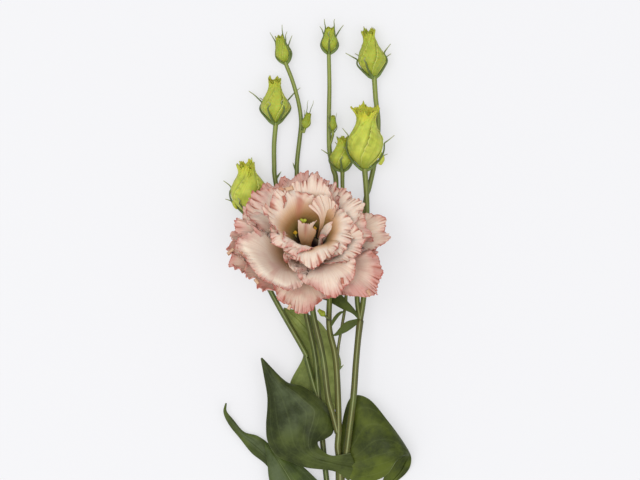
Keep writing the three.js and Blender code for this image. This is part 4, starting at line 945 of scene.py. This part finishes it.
def leaf_finish(name, green, light, yellow=0, shown=0.2, midrib=0.5, bloom=None):
    """A dark satin blade: paler clouds, faint veins, a thin pale margin and midrib, and on some leaves
    a greyish waxy bloom round one place, partly the leaf's own wax and partly a painted sheen"""
    finish = Finish(name, 0.48, Specular_IOR_Level=0.2)
    body = finish.place("Object")
    along = finish.attribute("along")
    across = finish.node("ShaderNodeSeparateXYZ", {"Vector": finish.place("UV")}).outputs["X"]
    cloud = finish.noise(body, 60, 5, 0.6)
    base = finish.mix(finish.fit(cloud, 0.38, 0.66), green, light)
    base = finish.mix(finish.fit(along, 0.02, 0.2, yellow, 0.0), base, tint(92, 102, 24))
    # a greyish patch round one place: partly the leaf's own waxy bloom and partly a painted sheen
    if bloom:
        aside = finish.times(finish.math("SUBTRACT", across, bloom[0]), 3.2)
        ahead = finish.times(finish.math("SUBTRACT", along, bloom[1]), 2.6)
        away = finish.plus(finish.times(aside, aside), finish.times(ahead, ahead))
        wax_and_painted_sheen = finish.times(finish.fit(away, 0.0, 0.8, 0.6, 0.0), finish.fit(cloud, 0.3, 0.65))
        base = finish.mix(wax_and_painted_sheen, base, tint(84, 94, 72))
    side_veins = 0.0
    for place in SIDE_VEINS:
        vein = finish.fit(finish.beside(across, place), 0.002, 0.014, 1.0, 0.0)
        side_veins = finish.math("MAXIMUM", side_veins, vein)
    base = finish.mix(finish.times(side_veins, 0.08), base, tint(120, 132, 80))
    crest = finish.fit(finish.beside(across, midrib), 0.002, 0.012, shown, 0.0)
    margin = finish.fit(finish.attribute("rim"), 0.965, 1.0, 0.0, 0.4)
    base = finish.mix(finish.math("MAXIMUM", crest, margin), base, tint(130, 138, 98))
    speckle = finish.noise(body, 1100, 3)
    base = finish.mix(finish.fit(speckle, 0.4, 0.7, 0.0, 0.16), base, light)
    net = finish.streaks(16, 7, 5, 0.6)
    finish.bump(finish.plus(finish.times(side_veins, -0.3), net), 0.25, 0.45)
    return finish.colour(base)


# Shapes

def bezier(points, t):
    """Point and unit direction of a cubic Bezier curve, as (radius, height)"""
    p0, p1, p2, p3 = (Vector(point) for point in points)
    s = 1 - t
    place = p0 * s ** 3 + p1 * 3 * s * s * t + p2 * 3 * s * t * t + p3 * t ** 3
    direction = (p1 - p0) * s * s + (p2 - p1) * 2 * s * t + (p3 - p2) * t * t
    return place, direction.normalized()


def near_line(place, line, width):
    """How near, from 0 to 1, a place on a petal is to a line across it"""
    start, end = (Vector(point) for point in line)
    span = end - start
    share = min(max((Vector(place) - start).dot(span) / span.length_squared, 0), 1)
    return math.exp(-((Vector(place) - start - span * share).length / width) ** 2)


def rounded_rim(side, corner):
    """The point of a petal's rim in the direction side, from -1 at its left waist to 1 at its right"""
    turn = side * math.pi / 2
    across, ahead = math.sin(turn), math.cos(turn)
    reach = (abs(across) ** corner + ahead ** corner) ** (-1 / corner)
    return reach * across, WAIST + (1 - WAIST) * reach * ahead


def flutes(along_rim, near, opened, wobble):
    """How far the flutes lift a point of the rim, shift it along the rim and notch it, and how deep in
    a crease between two flutes it lies"""
    lift = shift = notch = crease = 0.0
    for wave, height, start in FLUTES:
        swing = math.pi * (along_rim / wave + FLUTE_DRIFT * wobble(along_rim / wave * 0.55, wave))
        ridge = abs(math.sin(swing)) ** 0.75
        reach = FLUTE_LEAST + FLUTE_RANGE * abs(wobble(along_rim / wave * 0.45 + 7, wave))
        grown = max(0.0, (near - start) / (1 - start))
        strength = opened * height * reach * grown ** 1.7
        lift += strength * (1.8 * ridge - 1.1)
        shift += 0.3 * strength * math.cos(2 * swing)
        valley = reach * (1 - ridge) * (wave < COARSE)
        notch += valley * wave * NOTCH_SHARE * near ** 14
        crease += valley * (1 - ridge) * grown ** 0.7
    return lift, shift, notch, crease


def petal_surface(petal, frill):
    """Middle surface of one petal: a claw that widens to a cupped blade, fluted towards its rim, with
    a notch in the rim between two flutes. It gives a point, how near the rim it is, its direction from
    the petal's focus and how deep in a crease it lies"""
    azimuth, path, width, ruffle, waves = (petal[key] for key in (
        "azimuth", "path", "width", "ruffle", "waves"))
    foot_bend, rim_bend, claw, narrow, flare, crown, corner = (petal[key] for key in (
        "foot_bend", "bend", "claw", "narrow", "flare", "crown", "corner"))
    opening, opened_wide = petal["opens"]
    tip_phase, slow_phase, quick_phase, skew_phase = (
        2 * math.pi * hash01(azimuth * 7 + i) for i in (3, 4, 5, 7))
    turn = math.radians(azimuth)
    right, up, axis = bloom_frame()
    line = [Vector(point) for point in path]
    length = sum((b - a).length for a, b in zip(line, line[1:]))
    rim_length = width + 0.6 * length
    frills = frill * petal["frills"] * min(1.0, width / FULL_WIDTH)
    seed = azimuth * 0.37

    def wobble(x, depth):
        return noise.noise((x, seed, depth))

    def surface(u, v):
        # where the point lies, from the petal's focus and from its rim
        fan = math.atan2(u * width, (v - FOCUS) * length)
        along_rim = fan * rim_length * 2 / math.pi
        near = min(1.0, (abs(u) ** corner + max(0.0, (v - WAIST) / (1 - WAIST)) ** corner) ** (1 / corner))
        opened = frills * smooth(opening, opened_wide, v)
        lift, shift, notch, crease = flutes(along_rim, near, opened, wobble)
        # the ragged, notched rim
        tooth = opened * (near ** 10 * ragged_line(along_rim, seed, RIM_TEETH) - notch)
        t = v * (1 - crown * abs(u) ** 2.4) + 0.03 * math.sin(6 * u + tip_phase) * v ** 3
        t += (tooth * math.cos(fan) - shift * math.sin(fan)) / length
        place, direction = bezier(path, min(max(t, 0), 1.2))
        # how far to the side it lies, and how the blade bends and waves across
        spread = claw + (1 - claw) * math.sin(min(v / 0.8, 1) * math.pi / 2) ** narrow
        across = u * width * spread * (1 + flare * smooth(0.8, 1, v))
        bend = foot_bend + (rim_bend - foot_bend) * smooth(0.1, 0.9, v)
        if abs(bend) < LEAST_BEND:
            bend = LEAST_BEND
        skewed = u + 0.05 * math.sin(5 * u + skew_phase)
        edge = max(v ** 4, abs(u) ** 5 * smooth(0.35, 0.8, v))
        folds = (math.sin(skewed * waves * math.pi + slow_phase)
                 + 0.5 * math.sin(skewed * waves * 2.1 * math.pi + quick_phase))
        rise = (1 - math.cos(bend * across)) / bend + ruffle * edge * folds + lift
        side = math.sin(bend * across) / bend + shift * math.cos(fan) + tooth * math.sin(fan)
        radius = place.x - direction.y * rise
        height = place.y + direction.x * rise
        point = (BLOOM_ROOT + right * (radius * math.cos(turn) - side * math.sin(turn))
                 + up * (radius * math.sin(turn) + side * math.cos(turn)) + axis * height)
        # painted shade: the petal darkens in the creases between its flutes and along its fold
        depth = opened * crease
        if "fold" in petal:
            depth += 0.5 * near_line((u, v), petal["fold"], FOLD_WIDTH)
        return point, near * smooth(0.35, 0.8, v), fan, min(1.0, depth)

    return surface


def bud_radius(bud, t):
    """Radius of a bud at a share of its length"""
    return bud.width / 2 * run(bud.form.shape, t)


def bud_petal(bud, number, which):
    """One of the five petals still wound round each other: its free edge, a toothed spiral line, lies
    over the next petal, and its tip makes one pointed lobe of the mouth. The lobes that face up are
    the shorter ones. It gives a point, how near the free edge it is, its place across and how deep in
    a crease it lies"""
    base, tip = Vector(bud.base), Vector(bud.tip)
    forward, side, up = axis_frame(tip - base)
    length = (tip - base).length
    start = 2 * math.pi * which / WOUND - number / 5
    seed = number * 3.1 + which * 1.7
    size = bud.width / 14

    def surface(u, v):
        free = smooth(0.8, 1, u)
        teeth = free * ragged_line(v, seed, EDGE_TEETH)
        turn = start + u * WOUND_ARC + teeth - 2 * math.pi * bud.form.turn * v / WOUND
        ragged = ragged_line(u, seed, MOUTH_TEETH)
        lobe = LOBE_DEPTH * (0.3 - 1.4 * abs(u + 0.1) ** 1.2) - FACE_DOWN * (0.5 + math.sin(turn))
        t = v * (1 + (ragged + lobe) * smooth(0.6, 1, v))
        lap = size * (0.45 * u + 0.3 * free) * math.sin(math.pi * min(1, v + 0.1))
        ribs = math.sin(60 * v - 9 * u + seed) * smooth(0.3, 1, u) * smooth(0.15, 0.35, v)
        mouth = bud.form.ruffle * bud.width * smooth(0.8, 1, v)
        curl = mouth * (0.35 * math.sin(5 * u + seed) + 0.8 * noise.noise((u * 6, v * 3, seed)))
        dents = 0.5 * size * noise.noise((u * 2, v * 5, seed)) * math.sin(math.pi * v)
        radius = bud_radius(bud, min(t, 1)) * (1 + 0.4 * bud.form.pleat * math.cos(math.pi * u))
        radius += lap + 0.1 * size * ribs + dents + curl + 0.8 * mouth * smooth(0.85, 1.1, t)
        point = (base + forward * (t * length + 0.3 * curl) + side * radius * math.cos(turn)
                 + up * radius * math.sin(turn))
        return point, (u + 1) / 2, u, 0.5 - 0.5 * ribs

    return surface


def sepal_line(bud, tip):
    """Middle line of a thin sepal that hugs its bud, then stands away and curls at its tip"""
    base = Vector(bud.base)
    axis = Vector(bud.tip) - base
    length = axis.length
    axis.normalize()
    reach = Vector(tip) - base
    ahead = reach.dot(axis)
    outward = reach - axis * ahead
    far = outward.length
    outward.normalize()
    beside = axis.cross(outward)
    # some sepals bow to one side and some to the other
    bow = 0.1 * far * (1 if far % 1 > 0.5 else -1)
    points = []
    for i in range(SEPAL_POINTS):
        t = i / (SEPAL_POINTS - 1)
        height = -SEPAL_DROP + (ahead + SEPAL_DROP) * t
        up_bud = min(1, max(0, (height + 0.8) / length))
        bulge = bud_radius(bud, up_bud) * (1 + 0.6 * bud.form.pleat)
        hug = bulge + SEPAL_GAP + 0.02 * bud.width if t > 0 and height < length + 2 else 0
        radius = max(SEPAL_FOOT + (far - SEPAL_FOOT) * t ** 1.8, hug)
        curl = bow * (math.sin(math.pi * t) + 3.2 * smooth(0.7, 1, t) - 2.2 * smooth(0.86, 1, t))
        points.append(base + axis * height + outward * radius + beside * curl)
    return points


def leaf_surface(ribs, relief=0.0, seed=0):
    """Surface through ribs that run from a leaf's foot to its tip, with a sunken midrib and soft
    swellings between its veins"""
    lines = [[Vector(point) for point in rib] for rib in ribs]

    def surface(u, v):
        point = run([run(line, v) for line in lines], (u + 1) / 2)
        swell = noise.noise((u * 2.2, v * 5, seed)) + 0.4 * noise.noise((u * 5, v * 11, seed))
        point.z += relief * (math.exp(-(u / 0.05) ** 2) + 1.6 * swell * (1 - u * u))
        point.z = max(point.z, TABLE_CLEARANCE)
        return point

    return surface


def throat_surface(ribs, pleats, depth):
    """Surface of a small petal through its ribs, pleated towards a ragged tip. It gives a point, how
    near the rim it is, its place across and how deep in a crease it lies"""
    lines = [[Vector(point) for point in rib] for rib in ribs]

    def surface(u, v):
        wave = math.pi * pleats * (u + 0.3 * noise.noise((u * 3, 1, pleats)))
        crest = abs(math.sin(wave)) ** 0.8
        ragged = ragged_line(u, 5, [(3, 0.06, pleats), (11, 0.08, pleats)]) + 0.04 * (crest - 0.6)
        point = run([run(line, v + ragged * v ** 8) for line in lines], (u + 1) / 2)
        point.z += depth * (2 * crest - 1) * smooth(0.35, 1, v) + 0.5 * noise.noise((u * 2, v * 3, 2))
        return point, max(abs(u) ** 6, v ** 12), u, 0.5 * (1 - crest) * smooth(0.3, 0.8, v)

    return surface


def curl_surface(middle, heading, length, radius, rosy):
    """Surface of a petal's dry rim, rolled into a small scroll that is open at both ends"""
    turn = math.radians(heading)
    ahead = Vector((math.cos(turn), math.sin(turn), 0))
    side = Vector((-math.sin(turn), math.cos(turn), 0))

    def surface(u, v):
        roll = 2 * math.pi * (0.9 * v + 0.6)
        reach = radius * (1 - 0.5 * v) * (1 + 0.35 * noise.noise((u * 1.5, v * 2, heading)))
        end = u * length / 2 * (1 - 0.25 * v + 0.15 * noise.noise((v * 4, u, heading)))
        point = Vector(middle) + ahead * end + side * reach * math.cos(roll)
        point.z += reach * math.sin(roll)
        return point, max(abs(u) ** 5, v ** 5), u, rosy

    return surface


class LISIANTHUS_OT_petals(bpy.types.Operator):
    """Makes the whorls of frilled petals"""
    bl_idname = "lisianthus.petals"
    bl_label = "Petals"

    def execute(self, context):
        settings = context.scene.lisianthus_bloom
        material = petal_finish(settings)
        for name, petals in WHORLS.items():
            bm = new_mesh()
            least, most = BLUSH[name]
            for petal in petals:
                # narrow petals need fewer faces round their rims
                columns = round(settings.columns * min(1, 0.25 + petal["width"] / 19))
                rows = settings.rows if petal["width"] > SMALL_PETAL else settings.rows // 2
                tone = petal.get("tone", least + (most - least) * hash01(petal["azimuth"] + 0.5))
                start, late = petal.get("deep", DEPTH[name])
                add_blade(bm, petal_surface(petal, settings.frill), columns, rows, tone=tone,
                          crowd=RIM_CROWD, shades=(start, petal["ripe"]), corner=petal["corner"], late=late)
            make_piece(name, bm, material, settings.thickness, ["bloom_petals"])
        for name, (ribs, pleats, depth, shades) in THROAT_PETALS.items():
            bm = new_mesh()
            add_blade(bm, throat_surface(ribs, pleats, depth), *THROAT_GRID, tone=THROAT_BLUSH,
                      crowd=THROAT_CROWD, shades=shades)
            make_piece(name, bm, material, settings.thickness, ["bloom_petals"])
        bm = new_mesh()
        for middle, heading, length, radius, rosy in RIM_CURLS:
            surface = curl_surface(middle, heading, length, radius, rosy)
            add_blade(bm, surface, *CURL_GRID, tone=rosy, shades=CURL_SHADES)
        make_piece("rim_curls", bm, material, settings.thickness, ["bloom_petals"])
        return {"FINISHED"}


class LISIANTHUS_OT_heart(bpy.types.Operator):
    """Makes the tube of the corolla, the stamens and the pistil"""
    bl_idname = "lisianthus.heart"
    bl_label = "Heart"

    def execute(self, context):
        bm = new_mesh()
        outline = [Vector((radius, height)) for radius, height in FUNNEL + FUNNEL[:1]]

        def ring(u, v):
            place = run(outline, v)
            turn = math.pi * u
            return in_bloom(place.x * math.cos(turn), place.x * math.sin(turn), place.y)

        add_blade(bm, ring, *FUNNEL_GRID)
        bmesh.ops.remove_doubles(bm, verts=bm.verts, dist=WELD)
        make_piece("corolla_tube", bm, tube_finish(), stands_for=["bloom_petals"])
        bm = new_mesh()
        for x, y, h in ANTHERS:
            share = math.hypot(x, y) / FILAMENT_RING
            line = [(x / share, y / share, FILAMENT_FOOT), (x * 0.9, y * 0.9, 9), (x, y, h)]
            add_tube(bm, [in_bloom(*point) for point in line], FILAMENT_RADII, steps=12, sides=10)
        material = heart_finish("Filament", tint(205, 200, 130), tint(176, 170, 92), 0.5)
        make_piece("filaments", bm, material, stands_for=["bloom_petals"])
        bm = new_mesh()
        for x, y, h in ANTHERS:
            line = [in_bloom(x, y, h + way * ANTHER_REACH) for way in (-1, 0, 1)]
            add_tube(bm, line, ANTHER_RADII, steps=14, sides=14, ridge=0.12, flat=0.8)
        material = heart_finish("Anther", tint(232, 196, 50), tint(206, 160, 34), 0.7)
        make_piece("anthers", bm, material, stands_for=["bloom_petals"])
        bm = new_mesh()
        top_x, top_y, top = PISTIL[-1]
        add_tube(bm, [in_bloom(*point) for point in PISTIL], PISTIL_RADII, steps=32, sides=16)
        for x, y in STIGMA_LOBES:
            line = [(top_x, top_y, top - 0.6), (top_x + x * 0.7, top_y + y, top + 0.9),
                    (top_x + 1.5 * x, top_y + 1.5 * y, top + 0.6)]
            add_tube(bm, [in_bloom(*point) for point in line], LOBE_RADII, steps=14, sides=16)
        material = heart_finish("Stigma", tint(190, 196, 62), tint(150, 160, 48), 0.6)
        make_piece("pistil_skin", bm, material, stands_for=["pistil"])
        return {"FINISHED"}


class LISIANTHUS_OT_buds(bpy.types.Operator):
    """Makes the buds, each of five petals wound round a core"""
    bl_idname = "lisianthus.buds"
    bl_label = "Buds"

    def execute(self, context):
        settings = context.scene.lisianthus_buds
        material = bud_finish(settings)
        for number, (name, bud) in enumerate(BUDS.items()):
            bm = new_mesh()
            green, columns, rows = next(grade[1:] for grade in BUD_GRADES if bud.width > grade[0])
            base, tip = Vector(bud.base), Vector(bud.tip)
            foot, mouth = (base.lerp(tip, share) for share in INNER_SPAN)
            inner = Bud(foot, mouth, bud_radius(bud, 0.83) * 1.3, INNER)
            for which in range(WOUND):
                add_blade(bm, bud_petal(bud, number, which), columns, rows, tone=green, crowd=BUD_CROWD)
                if bud.width > LARGE_BUD:
                    add_blade(bm, bud_petal(inner, number + 7, which), columns // 2, rows // 2, tone=green,
                              shades=INNER_SHADES)
            if name in FLAPS:
                add_blade(bm, leaf_surface(FLAPS[name]), *FLAP_GRID, tone=green)
            radii = [bud_radius(bud, t) * CORE_SHARE for t in CORE]
            add_tube(bm, [base.lerp(tip, t) for t in CORE], radii, steps=24, sides=20, tone=CORE_GREEN)
            make_piece(name + "_petals", bm, material, settings.thickness, [name])
        return {"FINISHED"}


class LISIANTHUS_OT_stems(bpy.types.Operator):
    """Makes the ridged stems, the scales on them and the sepals round each bud"""
    bl_idname = "lisianthus.stems"
    bl_label = "Stems"

    def execute(self, context):
        settings = context.scene.lisianthus_stems
        bm = new_mesh()
        for points, radii in STEMS:
            tone = tuple(smooth(PALE_FROM, PALE_TO, points[i][1]) for i in (0, -1))
            rings = (len(points) - 1) * SPAN_STEPS
            add_tube(bm, points, radii, rings, settings.sides, settings.ridge, tone=tone)
        for centre, radius in KNOTS:
            x, y, z = centre
            line = [(x, y + way * KNOT_RUN, z + way * KNOT_RISE) for way in (-1, 0, 1)]
            add_tube(bm, line, [radius * share for share in KNOT_SHARES], steps=12, sides=settings.sides)
        make_piece("stem_skin", bm, stem_finish(settings), stands_for=["stems"])
        bm = new_mesh()
        sepals = [(BUDS[name], tip) for name, tips in SEPAL_TIPS.items() for tip in tips]
        for azimuth in CALYX_AZIMUTHS:
            turn = math.radians(azimuth)
            tip = in_bloom(CALYX_REACH * math.cos(turn), CALYX_REACH * math.sin(turn), CALYX_HEIGHT)
            sepals.append((CALYX, tip))
        for bud, tip in sepals:
            wide = min(1, bud.width / 9)
            radii = [wide * radius for radius in SEPAL_RADII]
            add_tube(bm, sepal_line(bud, tip), radii, steps=36, sides=10, flat=0.7)
        for foot, tip in SCALES:
            middle = Vector(foot).lerp(Vector(tip), 0.5)
            add_tube(bm, [foot, middle, tip], SCALE_RADII, steps=8, sides=8, flat=0.6)
        make_piece("sepals", bm, sepal_finish(), stands_for=["stems"])
        return {"FINISHED"}


class LISIANTHUS_OT_leaves(bpy.types.Operator):
    """Makes the broad leaves and the small bracts at the forks"""
    bl_idname = "lisianthus.leaves"
    bl_label = "Leaves"

    def execute(self, context):
        settings = context.scene.lisianthus_leaves
        for number, (name, ribs) in enumerate(LEAVES.items()):
            bm = new_mesh()
            surface = leaf_surface(ribs, LEAF_RELIEF, number)
            add_blade(bm, surface, settings.columns, settings.rows)
            green, light, *marks = LEAF_MARKS[name]
            material = leaf_finish(name.title(), tint(*green), tint(*light), *marks)
            make_piece(name + "_blade", bm, material, settings.thickness, [name])
        bm = new_mesh()
        for ribs in BRACTS:
            add_blade(bm, leaf_surface(ribs, BRACT_RELIEF), *BRACT_GRID)
        material = leaf_finish("Bract", settings.green, settings.light)
        make_piece("bracts", bm, material, settings.thickness, ["stems"])
        return {"FINISHED"}


class LISIANTHUS_OT_stage(bpy.types.Operator):
    """Makes the table, the light and the camera that looks down on the plant"""
    bl_idname = "lisianthus.stage"
    bl_label = "Stage"

    def execute(self, context):
        settings = context.scene.lisianthus_stage
        scene = context.scene
        bm = bmesh.new()
        bmesh.ops.create_grid(bm, x_segments=1, y_segments=1, size=TABLE_SIZE)
        mesh = bpy.data.meshes.new("floor")
        bm.to_mesh(mesh)
        bm.free()
        finish = Finish("Floor", 0.9, Base_Color=(*settings.floor, 1), Specular_IOR_Level=0,
                        Emission_Color=(1, 1, 1.02, 1), Emission_Strength=settings.glow)
        mesh.materials.append(finish.material)
        floor = bpy.data.objects.new("floor", mesh)
        floor.location.z = -TABLE_GAP * MM
        scene.collection.objects.link(floor)

        world = bpy.data.worlds.new("Studio")
        world.use_nodes = True
        sky = world.node_tree.nodes["Background"]
        sky.inputs["Color"].default_value = (1, 1, 1, 1)
        sky.inputs["Strength"].default_value = SKY
        scene.world = world
        for name, place, power in LIGHTS:
            data = bpy.data.lights.new(name, "AREA")
            data.size = LIGHT_SIZE
            data.energy = power
            light = bpy.data.objects.new(name, data)
            light.location = place
            light.rotation_euler = Vector(place).to_track_quat("Z", "Y").to_euler()
            scene.collection.objects.link(light)

        camera = bpy.data.cameras.new("Camera")
        camera.sensor_width = SENSOR_WIDTH
        camera.lens = camera.sensor_width * settings.camera_height / settings.field
        holder = bpy.data.objects.new("Camera", camera)
        middle = metres(VIEW_MIDDLE)
        holder.location = (middle.x, middle.y, settings.camera_height)
        scene.collection.objects.link(holder)
        scene.camera = holder
        scene.view_settings.view_transform = "Standard"
        return {"FINISHED"}


class LISIANTHUS_PT_panel(bpy.types.Panel):
    """Lists the operators that make the plant"""
    bl_label = "Lisianthus"
    bl_space_type = "VIEW_3D"
    bl_region_type = "UI"
    bl_category = "Lisianthus"

    def draw(self, context):
        for operator in OPERATORS:
            self.layout.operator(operator.bl_idname)


SETTINGS = {
    "lisianthus_bloom": BloomSettings,
    "lisianthus_buds": BudSettings,
    "lisianthus_stems": StemSettings,
    "lisianthus_leaves": LeafSettings,
    "lisianthus_stage": StageSettings,
}
OPERATORS = [
    LISIANTHUS_OT_petals,
    LISIANTHUS_OT_heart,
    LISIANTHUS_OT_buds,
    LISIANTHUS_OT_stems,
    LISIANTHUS_OT_leaves,
    LISIANTHUS_OT_stage,
]


def register():
    for group in [*SETTINGS.values(), *OPERATORS, LISIANTHUS_PT_panel]:
        bpy.utils.register_class(group)
    for name, group in SETTINGS.items():
        setattr(bpy.types.Scene, name, PointerProperty(type=group))


def unregister():
    for name in SETTINGS:
        delattr(bpy.types.Scene, name)
    for group in [LISIANTHUS_PT_panel, *reversed(OPERATORS), *reversed(SETTINGS.values())]:
        bpy.utils.unregister_class(group)


def main():
    register()
    bpy.ops.lisianthus.petals()
    bpy.ops.lisianthus.heart()
    bpy.ops.lisianthus.buds()
    bpy.ops.lisianthus.stems()
    bpy.ops.lisianthus.leaves()
    bpy.ops.lisianthus.stage()


if __name__ == "__main__":
    main()
